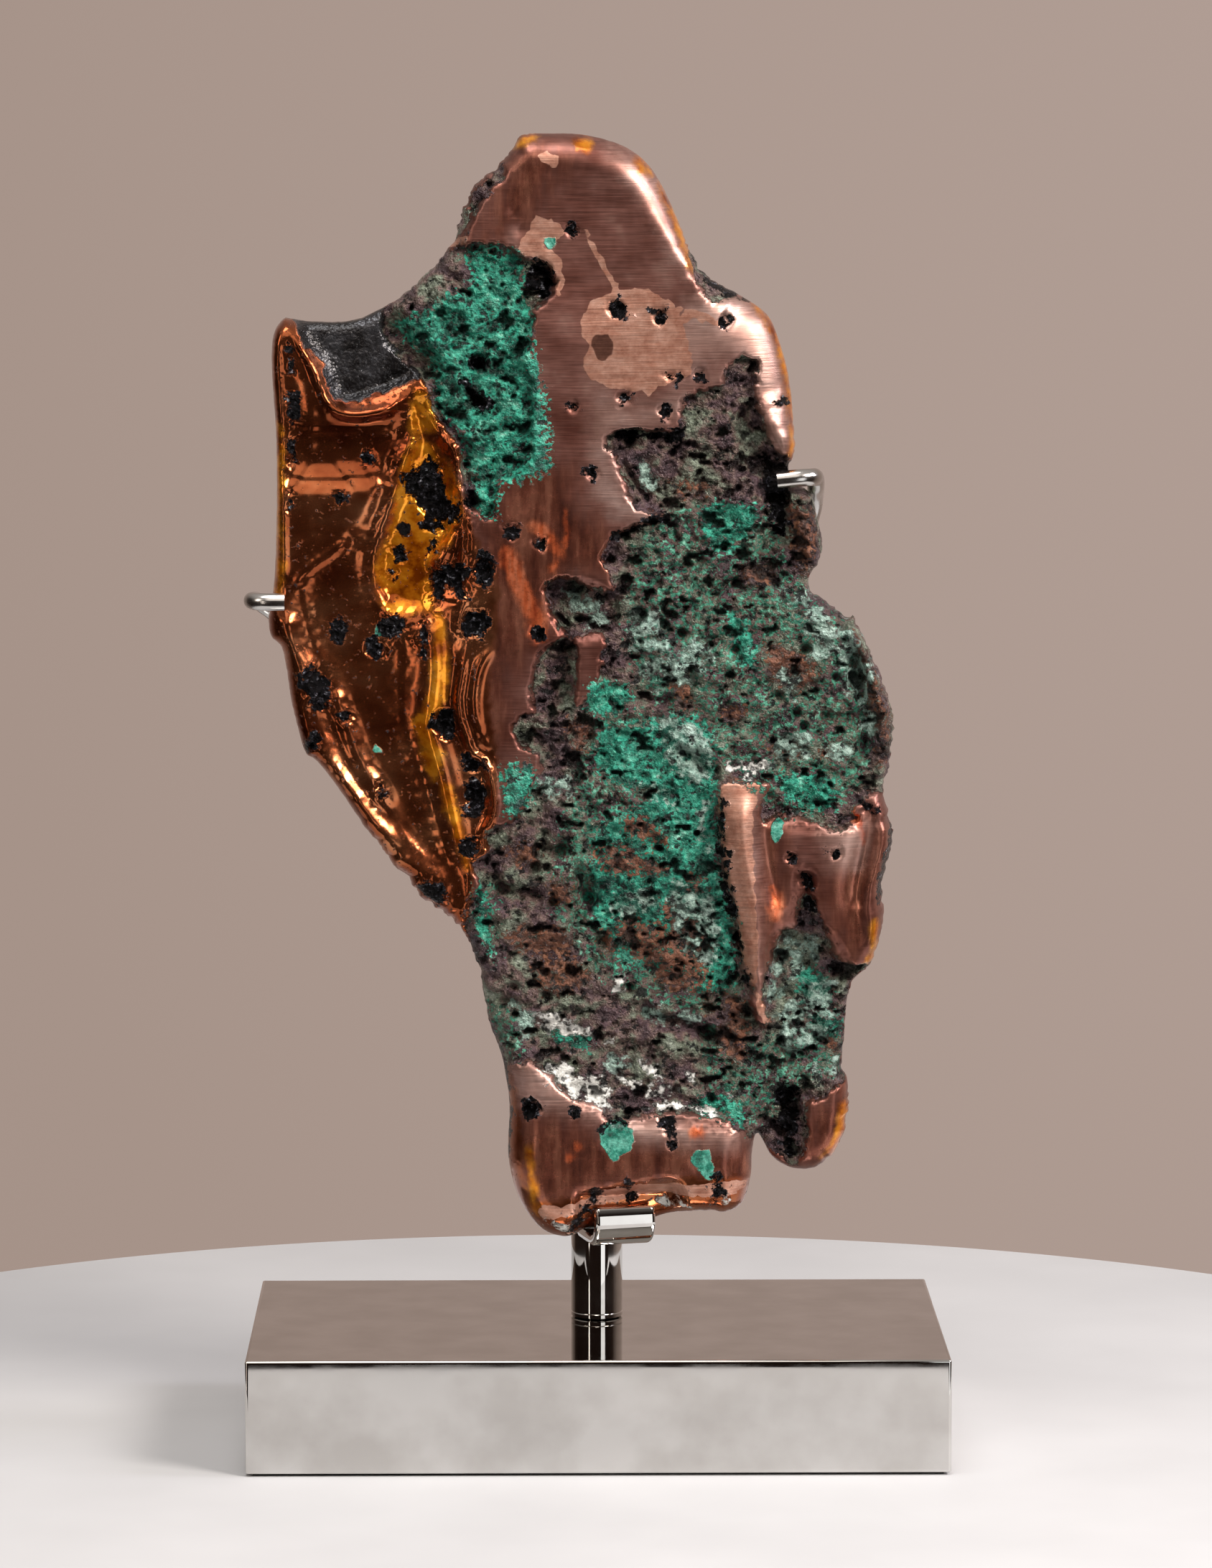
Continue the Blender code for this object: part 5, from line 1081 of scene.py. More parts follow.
@dataclass
class Saddle:
    """The bent steel strip that cradles the nugget's foot."""

    width: float = 22.5
    thickness: float = 4.0
    yaw: float = math.radians(14.0)
    reach: float = 33.0
    bottom: float = 75.3
    lip_top: float = 90.2
    riser_top: float = 118.0
    bend: float = 5.0
    edge: float = 1.4
    edge_steps: int = 6
    edge_flat: float = 0.4
    ring_step: float = 0.7
    seat_slope: float = 1.5
    seat_margin: float = 4.5
    clearance: float = 0.5
    post: tuple[float, float] = (0.3, 6.0)
    post_radius: float = 9.525
    gap: float = 0.3

    def back_direction(self) -> Array:
        """The level direction from the lip to the post."""
        return np.array([-math.sin(self.yaw), math.cos(self.yaw)])

    def corner(self) -> Array:
        """(x, y) of the middle of the lip's outer face."""
        return np.array(self.post) - self.back_direction() * (self.post_radius + self.gap + self.reach)

    def room(self, points: Array, middle_y: float, front: bool) -> Array:
        """The most height that the strip leaves to the nugget.

        Args:
            points: The (x, z) places.
            middle_y: Where the plane of the outline is.
            front: True for the lip's side and False for the riser's.

        Returns:
            The largest height at each place.
        """
        inner = self.thickness + self.gap
        x, y = self.corner() + self.back_direction() * (inner if front else self.reach - inner)
        top = (self.lip_top if front else self.riser_top) + self.seat_margin
        half = self.width / 2 + self.seat_margin
        slope = math.tan(self.yaw) * (-1 if front else 1)
        beside = np.maximum(np.abs(points[:, 0] - x) - half, 0)
        above = np.maximum(points[:, 1] - top, 0)
        limit = abs(middle_y - y) - self.clearance + slope * (np.clip(points[:, 0], x - half, x + half) - x)
        return limit + self.seat_slope * np.hypot(beside, above)

    def profile(self) -> list[tuple[float, float]]:
        """The strip's middle line as (distance from the lip's outer face, z).

        Returns:
            The line's corners, from the lip's top to the riser's top.
        """
        half = self.thickness / 2
        low, rear = self.bottom + half, self.reach - half
        route = [(half + 1.5, self.lip_top), (half + 0.5, self.lip_top - 2.5), (half, self.lip_top - 5.5),
                 (half + 0.6, low + 5.2), (half + 2.6, low + 2.2), (half + 5.8, low + 0.5), (half + 9.5, low)]
        centre = rear - self.bend
        for step in range(11):
            angle = (1.5 + step / 20) * math.pi
            route.append((centre + self.bend * math.cos(angle),
                          low + self.bend + self.bend * math.sin(angle)))
        route.append((rear, self.riser_top))
        return route

    def section(self) -> Array:
        """The strip's cross-section as (across, through) corners: flats between rounded edges.

        Returns:
            The corners in order round the section.
        """
        half, deep = self.width / 2 - self.edge, self.thickness / 2 - self.edge
        corners = []
        for side_x, side_y, start in ((1, -1, -90), (1, 1, 0), (-1, 1, 90), (-1, -1, 180)):
            for step in range(self.edge_steps + 1):
                angle = math.radians(start + 90 / self.edge_steps * step)
                corners.append((side_x * half + self.edge * math.cos(angle),
                                side_y * deep + self.edge * math.sin(angle)))
            along = self.edge_flat if side_x * side_y > 0 else 0.0
            x, y = corners[-1]
            corners.append((x - side_x * along, y - side_y * (self.edge_flat - along)))
        return np.array(corners)

    def build(self) -> bpy.types.Object:
        """The strip: its section carried along its bent middle line, with rounded ends.

        Returns:
            The piece, with its place in its mesh.
        """
        line, _ = evenly_spaced(smooth_route(np.array(self.profile()), steps=3), self.ring_step)
        along = np.gradient(line, axis=0)
        along /= np.linalg.norm(along, axis=1)[:, None]
        length = np.concatenate([[0], np.cumsum(np.linalg.norm(np.diff(line, axis=0), axis=1))])
        section = self.section()
        mesh = bmesh.new()
        rings = []
        full, end = self.edge_steps, length[-1]
        stations = [(0.0, turn) for turn in range(full + 1)]
        stations += [(place, full) for place in length if self.edge < place < end - self.edge]
        stations += [(end, turn) for turn in reversed(range(full + 1))]
        for place, turn in stations:
            angle = turn * math.pi / (2 * full)
            inset = self.edge * (1 - math.sin(angle))
            slide = self.edge * (1 - math.cos(angle))
            slide *= 1 if place < self.edge else -1 if place > end - 1e-6 else 0
            at = min(max(place + slide, 0), end)
            middle = np.array([np.interp(at, length, line[:, k]) for k in (0, 1)])
            way = np.array([np.interp(at, length, along[:, k]) for k in (0, 1)])
            normal = np.array([way[1], -way[0]])
            ring = []
            for across, through in section:
                across -= math.copysign(min(inset, abs(across)), across)
                through -= math.copysign(min(inset, abs(through)), through)
                reach, z = middle + normal * through
                ring.append(mesh.verts.new(Vector((across, reach, z)) * MM))
            rings.append(ring)
        for one, two in zip(rings, rings[1:]):
            for i in range(len(one)):
                j = (i + 1) % len(one)
                mesh.faces.new((one[i], one[j], two[j], two[i]))
        mesh.faces.new(rings[0])
        mesh.faces.new(rings[-1])
        bmesh.ops.remove_doubles(mesh, verts=mesh.verts, dist=1e-6)
        bmesh.ops.recalc_face_normals(mesh, faces=mesh.faces)
        piece = new_piece("saddle_strip", mesh)
        piece.location = Vector((*self.corner(), 0)) * MM
        piece.rotation_euler.z = self.yaw
        return settle(piece, 60)


@dataclass
class CopperNugget:
    """The native copper slab: one closed mesh from its show side to its hidden side."""

    saddle: Saddle
    leg_limits: tuple[tuple[float, float, float, float], ...]
    middle_y: float = -19.5
    crust_step: float = 0.82
    mirror_step: float = 1.1
    satin_step: float = 1.7
    back_step: float = 2.3
    front_rows: tuple[float, ...] = (0.35, 1.1)
    front_margin: float = 1.9
    back_rows: tuple[float, ...] = (0.9,)
    back_margin: float = 2.2
    leg_gap: float = 4.0
    leg_slope: float = 2.0
    outline: SlabOutline = field(default_factory=SlabOutline)

    def lattice(self, step: float, margin: float) -> Array:
        """An even triangular lattice inside the outline.

        Args:
            step: Distance between neighbours.
            margin: How far inside the outline it stops.

        Returns:
            The (x, z) places.
        """
        loop = self.outline.points
        low, high = loop.min(axis=0), loop.max(axis=0)
        rows = np.arange(low[1], high[1], step * math.sqrt(3) / 2)
        xs = np.arange(low[0], high[0], step)
        grid = np.vstack([np.stack([xs + (row % 2) * step / 2, np.full(len(xs), z)], axis=1)
                          for row, z in enumerate(rows)])
        grid = grid[inside_loop(grid, loop)]
        distance, _ = self.outline.nearest(grid)
        return grid[distance > margin]

    def rings(self, offsets: tuple[float, ...]) -> Array:
        """Rows of points just inside the outline, where the edge turns fastest.

        Args:
            offsets: How far inside the outline each row lies.

        Returns:
            The (x, z) places.
        """
        inward = self.outline.inward()
        kept = []
        for offset in offsets:
            ring = self.outline.points + offset * inward
            distance, _ = self.outline.nearest(ring)
            kept.append(ring[inside_loop(ring, self.outline.points) & (distance > 0.85 * offset)])
        return np.vstack(kept)

    def front_points(self, side: ShowSide) -> Array:
        """Places on the show side: close together in crust, wider on rubbed copper.

        Args:
            side: The show side, which knows where the crust is.

        Returns:
            The (x, z) places.
        """
        kept = [self.rings(self.front_rows)]
        for wanted, step in enumerate((self.crust_step, self.mirror_step, self.satin_step)):
            grid = self.lattice(step, self.front_margin)
            covers = side.covers(grid)
            lumpy = [covers[skin] for skin in (Skin.CRUST, Skin.DARK, Skin.HAMMERED, Skin.GREEN)]
            rough = np.max(lumpy, axis=0) > 0.02
            shiny = (covers[Skin.MIRROR] > 0.3) & ~rough
            kept.append(grid[(rough, shiny, ~rough & ~shiny)[wanted]])
        return np.vstack(kept)

    def sheet(self, inner: Array) -> list[list[int]]:
        """Triangles over the outline and the inner points.

        Args:
            inner: The (x, z) places inside the outline.

        Returns:
            Each triangle's corners by number, counting the outline's points first.
        """
        count = len(self.outline.points)
        points = [Vector(point) for point in np.vstack([self.outline.points, inner])]
        edges = [(i, (i + 1) % count) for i in range(count)]
        _, _, faces, sources, _, _ = delaunay_2d_cdt(points, edges, [], 1, 1e-6)
        return [[sources[corner][0] for corner in face] for face in faces]

    def under_legs(self, points: Array) -> Array:
        """The most height that the hooks' front legs leave.

        Args:
            points: The (x, z) places.

        Returns:
            The largest height at each place.
        """
        limit = np.full(len(points), np.inf)
        for x, z, half_length, leg_y in self.leg_limits:
            beside = np.maximum(np.abs(points[:, 0] - x) - half_length, 0)
            apart = np.maximum(np.abs(points[:, 1] - z) - self.leg_gap, 0)
            room = self.middle_y - leg_y + self.leg_slope * np.hypot(beside, apart)
            limit = np.minimum(limit, room)
        return limit

    def build(self) -> bpy.types.Object:
        """The closed slab with its skins stored as attributes.

        Returns:
            The piece, with its place in its mesh.
        """
        show, hidden = ShowSide(self.outline), HiddenSide(self.outline)
        front = self.front_points(show)
        back = np.vstack([self.rings(self.back_rows), self.lattice(self.back_step, self.back_margin)])
        covers, back_covers = show.covers(front), hidden.covers(back)
        height, hollow = show.heights(front, covers)
        height = np.minimum(np.maximum(height, show.thinnest), self.saddle.room(front, self.middle_y, True))
        height = np.minimum(height, self.under_legs(front))
        front_y = self.middle_y - self.outline.rise(front) * height
        height, back_hollow = hidden.heights(back, back_covers)
        height = np.minimum(np.maximum(height, hidden.thinnest), self.saddle.room(back, self.middle_y, False))
        back_y = self.middle_y + self.outline.rise(back) * height
        rim_covers = show.covers(self.outline.points)
        places = np.vstack([np.insert(self.outline.points, 1, self.middle_y, axis=1),
                            np.insert(front, 1, front_y, axis=1), np.insert(back, 1, back_y, axis=1)])
        count, shift = len(self.outline.points), len(front)
        faces = self.sheet(front)
        faces += [[i if i < count else i + shift for i in reversed(face)] for face in self.sheet(back)]
        mesh = bmesh.new()
        verts = [mesh.verts.new(place * MM) for place in places]
        for face in faces:
            mesh.faces.new([verts[i] for i in face])
        bmesh.ops.recalc_face_normals(mesh, faces=mesh.faces)
        piece = new_piece("nugget_slab", mesh)
        for skin in Skin:
            values = np.concatenate([rim_covers[skin], covers[skin], back_covers[skin]])
            add_attribute(piece, skin.attribute, values)
        # How deep each place lies in a hole or between grains; the material paints shade there.
        add_attribute(piece, "hollow", np.concatenate([np.zeros(count), hollow, back_hollow]))
        return settle(piece, 180)


@dataclass(frozen=True)
class Hook:
    """A prong bent from one round rod, from its domed tip to the post."""

    name: str
    route: tuple[tuple[float, float, float], ...]
    radius: float = 3.175
    step: float = 1.6
    sides: int = 36

    def build(self, steel: bpy.types.Material) -> bpy.types.Object:
        """The rod swept along its route by Geometry Nodes.

        Args:
            steel: The rod's material.

        Returns:
            The piece, with its place in its mesh.
        """
        route = smooth_route(self.route, steps=10)
        points, _ = evenly_spaced(route, self.step)
        dome, _ = evenly_spaced(points[:4], self.step / 8)
        points = np.vstack([dome[:-1], points[3:]])
        curve = bpy.data.curves.new(self.name + "_route", "CURVE")
        curve.dimensions = "3D"
        spline = curve.splines.new("POLY")
        spline.points.add(len(points) - 1)
        for point, place in zip(spline.points, points):
            point.co = (*(place * MM), 1)
        guide = bpy.data.objects.new(self.name + "_route", curve)
        bpy.context.scene.collection.objects.link(guide)
        sweep = guide.modifiers.new("sweep", "NODES")
        sweep.node_group = self.sweep_tree(steel)
        set_input(sweep, "Rod radius", self.radius * MM)
        set_input(sweep, "Sides", self.sides)
        set_input(sweep, "Dome", self.radius * MM)
        graph = bpy.context.evaluated_depsgraph_get()
        data = bpy.data.meshes.new_from_object(guide.evaluated_get(graph))
        bpy.data.objects.remove(guide)
        mesh = bmesh.new()
        mesh.from_mesh(data)
        bmesh.ops.remove_doubles(mesh, verts=mesh.verts, dist=1e-6)
        bmesh.ops.recalc_face_normals(mesh, faces=mesh.faces)
        return settle(new_piece(self.name, mesh), 50)

    def sweep_tree(self, steel: bpy.types.Material) -> bpy.types.NodeTree:
        """Geometry Nodes that sweep a round section with a domed start along a curve.

        Args:
            steel: The rod's material.

        Returns:
            The node tree.
        """
        tree = bpy.data.node_groups.new(self.name + "_sweep", "GeometryNodeTree")
        for name, way, kind in (("Curve", "INPUT", "Geometry"), ("Rod radius", "INPUT", "Float"),
                                ("Sides", "INPUT", "Int"), ("Dome", "INPUT", "Float"),
                                ("Mesh", "OUTPUT", "Geometry")):
            tree.interface.new_socket(name, in_out=way, socket_type="NodeSocket" + kind)
        given = add_node(tree, "NodeGroupInput")
        spline = add_node(tree, "GeometryNodeSplineParameter")
        left = add_node(tree, "ShaderNodeMath", {0: spline.outputs["Length"], 1: given.outputs["Dome"]},
                        operation="DIVIDE", use_clamp=True)
        gone = add_node(tree, "ShaderNodeMath", {0: 1.0, 1: left.outputs[0]}, operation="SUBTRACT")
        square = add_node(tree, "ShaderNodeMath", {0: gone.outputs[0], 1: 2.0}, operation="POWER")
        rest = add_node(tree, "ShaderNodeMath", {0: 1.001, 1: square.outputs[0]}, operation="SUBTRACT")
        share = add_node(tree, "ShaderNodeMath", {0: rest.outputs[0]}, operation="SQRT")
        thick = add_node(tree, "GeometryNodeSetCurveRadius",
                         {"Curve": given.outputs["Curve"], "Radius": share.outputs[0]})
        ring = add_node(tree, "GeometryNodeCurvePrimitiveCircle",
                        {"Resolution": given.outputs["Sides"], "Radius": given.outputs["Rod radius"]})
        swept = add_node(tree, "GeometryNodeCurveToMesh",
                         {"Curve": thick.outputs[0], "Profile Curve": ring.outputs["Curve"],
                          "Fill Caps": True})
        real = add_node(tree, "GeometryNodeRealizeInstances", {0: swept.outputs[0]})
        dressed = add_node(tree, "GeometryNodeSetMaterial", {0: real.outputs[0], "Material": steel})
        add_node(tree, "NodeGroupOutput", {0: dressed.outputs[0]})
        return tree


@dataclass(frozen=True)
class Stand:
    """The block, its pad, the post and the two hooks."""

    width: float = 254.0
    depth: float = 152.4
    height: float = 41.3
    bottom: float = 0.9
    edge: float = 0.9
    pad_inset: float = 2.5
    pad_thickness: float = 0.6
    post_radius: float = 9.525
    post_place: tuple[float, float] = (0.3, 6.0)
    post_top: float = 262.0

    def block(self) -> bpy.types.Object:
        """The solid block with softly broken edges and flat faces.

        Returns:
            The piece, with its place in its mesh.
        """
        mesh = bmesh.new()
        bmesh.ops.create_cube(mesh, size=1)
        bmesh.ops.scale(mesh, vec=Vector((self.width, self.depth, self.height)) * MM, verts=mesh.verts)
        bmesh.ops.translate(mesh, vec=(0, 0, (self.bottom + self.height / 2) * MM), verts=mesh.verts)
        bmesh.ops.bevel(mesh, geom=list(mesh.edges), offset=self.edge * MM, segments=5, profile=0.5,
                        affect="EDGES")
        flats = [face for face in mesh.faces if face.calc_area() > 0.001]
        bmesh.ops.inset_individual(mesh, faces=flats, thickness=0.5 * MM)
        return settle(new_piece("steel_block", mesh), 60)

    def pad(self) -> bpy.types.Object:
        """The thin felt sheet under the block, with a soft cut edge.

        Returns:
            The piece, with its place in its mesh.
        """
        width, depth = self.width - 2 * self.pad_inset, self.depth - 2 * self.pad_inset
        mesh = bmesh.new()
        bmesh.ops.create_cube(mesh, size=1)
        bmesh.ops.scale(mesh, vec=Vector((width, depth, self.pad_thickness)) * MM, verts=mesh.verts)
        bmesh.ops.translate(mesh, vec=(0, 0, self.pad_thickness / 2 * MM), verts=mesh.verts)
        piece = new_piece("felt_sheet", mesh)
        round_edges(piece, 0.2, 2, 50)
        return settle(piece, 35)

    def post(self) -> bpy.types.Object:
        """The round post, turned from a profile with a groove at its foot and a chamfered top.

        Returns:
            The piece, with its place in its mesh.
        """
        low = self.bottom + self.height + 0.3
        radius = self.post_radius
        profile = [(0, low), (radius - 0.4, low), (radius, low + 0.4), (radius, low + 1.6),
                   (radius - 0.25, low + 1.9), (radius, low + 2.2), (radius, self.post_top - 1.2),
                   (radius - 0.35, self.post_top - 0.35), (radius - 1.2, self.post_top), (0, self.post_top)]
        mesh = bmesh.new()
        verts = [mesh.verts.new(Vector((x, 0, z)) * MM) for x, z in profile]
        edges = [mesh.edges.new(pair) for pair in zip(verts, verts[1:])]
        bmesh.ops.spin(mesh, geom=verts + edges, axis=(0, 0, 1), cent=(0, 0, 0), steps=96, angle=2 * math.pi)
        bmesh.ops.remove_doubles(mesh, verts=mesh.verts, dist=1e-6)
        bmesh.ops.recalc_face_normals(mesh, faces=mesh.faces)
        bmesh.ops.translate(mesh, vec=Vector((*self.post_place, 0)) * MM, verts=mesh.verts)
        return settle(new_piece("steel_post", mesh), 30)

    def left_hook(self) -> Hook:
        """The hook on the nugget's left rim.

        Returns:
            The hook with its route in millimetres.
        """
        low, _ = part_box("left_prong")
        front, side = low[1] / MM + 3.175, low[0] / MM + 3.175 + 0.4
        z, post_side = 312.4, self.post_place[0] - self.post_radius - 0.4
        behind = -2.0  # where the arm passes behind the nugget's rim
        return Hook("hook_left", (
            (-112.6, front, z), (side + 6, front, z), (side + 1.8, front + 1.8, z), (side, front + 6.5, z),
            (side, -20, z - 1), (side, behind - 5, z - 2), (side + 2.5, behind, z - 4),
            (side + 10, behind + 3, z - 11), (-88, 5, 270), (-50, 6, 238), (post_side - 14, 6, 227),
            (post_side, 6, 226)))

    def right_hook(self) -> Hook:
        """The hook behind the knob on the nugget's right rim.

        Returns:
            The hook with its route in millimetres.
        """
        low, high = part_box("right_prong")
        front, side = low[1] / MM + 3.175, high[0] / MM - 3.175 - 0.8
        z, post_side = 355.6, self.post_place[0] + self.post_radius + 0.4
        return Hook("hook_right", (
            (65, front, z), (side - 6, front, z + 0.8), (side - 1.8, front + 1.8, z + 0.9),
            (side, front + 6.5, z + 0.6), (side + 0.6, -18, z - 2.5), (side + 0.8, -7, z - 7),
            (side, -0.5, z - 14), (74, 3, 327), (55, 5, 292), (30, 6, 256), (post_side + 10, 6, 247),
            (post_side, 6, 246)))


def new_piece(name: str, mesh: bmesh.types.BMesh) -> bpy.types.Object:
    """An object at the origin that owns the given mesh.

    Args:
        name: The piece's name.
        mesh: The mesh, which is freed.

    Returns:
        The piece.
    """
    data = bpy.data.meshes.new(name)
    mesh.to_mesh(data)
    mesh.free()
    piece = bpy.data.objects.new(name, data)
    bpy.context.scene.collection.objects.link(piece)
    return piece


def round_edges(piece: bpy.types.Object, width: float, segments: int, angle: float) -> None:
    """Adds a bevel to the edges that turn by more than an angle in degrees.

    Args:
        piece: The piece to round.
        width: The bevel's width in millimetres.
        segments: How many faces cross it.
        angle: The smallest turn that is rounded.
    """
    bevel = piece.modifiers.new("rounded_edges", "BEVEL")
    bevel.width = width * MM
    bevel.segments = segments
    bevel.limit_method = "ANGLE"
    bevel.angle_limit = math.radians(angle)
    bevel.harden_normals = False


def settle(piece: bpy.types.Object, sharp_angle: float) -> bpy.types.Object:
    """Applies the modifiers and moves the piece's place into its mesh.

    Args:
        piece: The piece to settle.
        sharp_angle: Edges that turn by more than this many degrees stay crisp.

    Returns:
        The same piece, at the origin, unturned and unscaled.
    """
    graph = bpy.context.evaluated_depsgraph_get()
    graph.update()
    data = bpy.data.meshes.new_from_object(piece.evaluated_get(graph))
    data.transform(piece.matrix_world)
    piece.modifiers.clear()
    piece.data = data
    piece.location, piece.rotation_euler = (0, 0, 0), (0, 0, 0)
    data.shade_smooth()
    if sharp_angle < 180:
        data.set_sharp_from_angle(angle=math.radians(sharp_angle))
    return piece


def add_attribute(piece: bpy.types.Object, name: str, values: Array) -> None:
    """Stores one number for each vertex."""
    layer = piece.data.attributes.new(name, "FLOAT", "POINT")
    layer.data.foreach_set("value", values.astype(np.float32))


def set_input(modifier: bpy.types.NodesModifier, name: str, value: float) -> None:
    """Sets a Geometry Nodes input by the identifier of its socket.

    Args:
        modifier: The modifier that runs the tree.
        name: The input's name in the tree.
        value: What it is set to.
    """
    for item in modifier.node_group.interface.items_tree:
        if item.item_type == "SOCKET" and item.in_out == "INPUT" and item.name == name:
            modifier[item.identifier] = value


def dress(piece: bpy.types.Object, node: str, material: bpy.types.Material) -> None:
    """Gives a piece its material and its place on the frame.

    Args:
        piece: The piece to dress.
        node: The node that it replaces.
        material: What it is made of.
    """
    piece.data.materials.clear()
    piece.data.materials.append(material)
    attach(piece, "root")
    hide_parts(node)
    LOG.info("%s: %d faces", piece.name, len(piece.data.polygons))


def linear(code: str) -> tuple[float, float, float, float]:
    """An sRGB hex colour as linear red, green, blue and alpha.

    Args:
        code: The colour as #RRGGBB.

    Returns:
        The four linear values.
    """
    parts = [int(code[i:i + 2], 16) / 255 for i in (1, 3, 5)]
    red, green, blue = [p / 12.92 if p <= 0.04045 else ((p + 0.055) / 1.055) ** 2.4 for p in parts]
    return red, green, blue, 1.0


def add_node(tree: bpy.types.NodeTree, kind: str, inputs: dict[Any, Any] | tuple[Any, ...] = (),
             stops: tuple[tuple[float, str], ...] = (), **settings: Any) -> bpy.types.Node:
    """Adds a node with its settings, values and links.

    Args:
        tree: The node tree.
        kind: The node's type name.
        inputs: Values, or the outputs to link, by name or number, or in the order of the inputs.
        stops: For a colour ramp, each stop's place and its hex colour.
        settings: The node's own settings.

    Returns:
        The node.
    """
    node = tree.nodes.new(kind)
    for name, value in settings.items():
        setattr(node, name, value)
    for key, value in inputs.items() if isinstance(inputs, dict) else enumerate(inputs):
        if isinstance(value, bpy.types.NodeSocket):
            tree.links.new(value, node.inputs[key])
        else:
            node.inputs[key].default_value = value
    while stops and len(node.color_ramp.elements) < len(stops):
        node.color_ramp.elements.new(0.5)
    for element, (place, code) in zip(node.color_ramp.elements if stops else (), stops):
        element.position = place
        element.color = linear(code)
    return node


def blank_material(name: str) -> tuple[bpy.types.Material, bpy.types.NodeTree]:
    """A new material whose node tree is empty.

    Args:
        name: The material's name.

    Returns:
        The material and its tree.
    """
    material = bpy.data.materials.new(name)
    material.use_nodes = True
    material.node_tree.nodes.clear()
    return material, material.node_tree


def surface_of(tree: bpy.types.NodeTree, inputs: dict[str, Any]) -> None:
    """Ends a material's tree in one surface with the given values."""
    surface = add_node(tree, "ShaderNodeBsdfPrincipled", inputs)
    add_node(tree, "ShaderNodeOutputMaterial", {"Surface": surface.outputs[0]})


class Pattern(Enum):
    """Uneven patterns shared by the nugget's skins: lump size in mm along x, y and z, detail, and seed."""

    BROAD = ((21.0, 21.0, 18.0), 3.0, 0.0)
    PATCH = ((6.5, 6.5, 5.5), 7.0, 40.0)
    HUE = ((10.5, 10.5, 9.0), 5.0, 20.0)
    LUMP = ((4.2, 4.2, 3.9), 4.0, 60.0)
    FINE = ((1.9, 1.9, 1.6), 5.0, 80.0)
    GRAIN = ((1.35, 1.35, 1.2), 0.0, 120.0)
    SPECK = ((0.7, 0.7, 0.65), 2.0, 160.0)
    BRUSHED = ((14.0, 7.0, 0.55), 3.0, 200.0)
    STREAK = ((4.0, 4.0, 22.0), 4.0, 240.0)


@dataclass(frozen=True)
class Finish:
    """One of the nugget's skins as a shader layer.

    mottle drives the colours, grain drives the tone, the roughness and the bump (in mm), and ragged_by
    makes the edge uneven. The tone lightens the grain's high places and darkens its low places: partly the
    skin's own uneven tone, partly painted shade of the bump. relief is the height in mm of the lumps, and
    the gap shade how dark the gaps between them are painted: painted shade.
    """

    name: str
    skin: Skin | None
    stops: tuple[tuple[float, str], ...]
    mottle: Pattern
    metallic: float
    roughness: tuple[float, float]
    grain: Pattern
    tone: tuple[float, float]
    bump: float
    cover: float = 1.0
    ragged: float = 0.6
    ragged_by: Pattern = Pattern.PATCH
    softness: float = 0.12
    relief: float = 0.0
    painted_gap_shade: float = 0.0


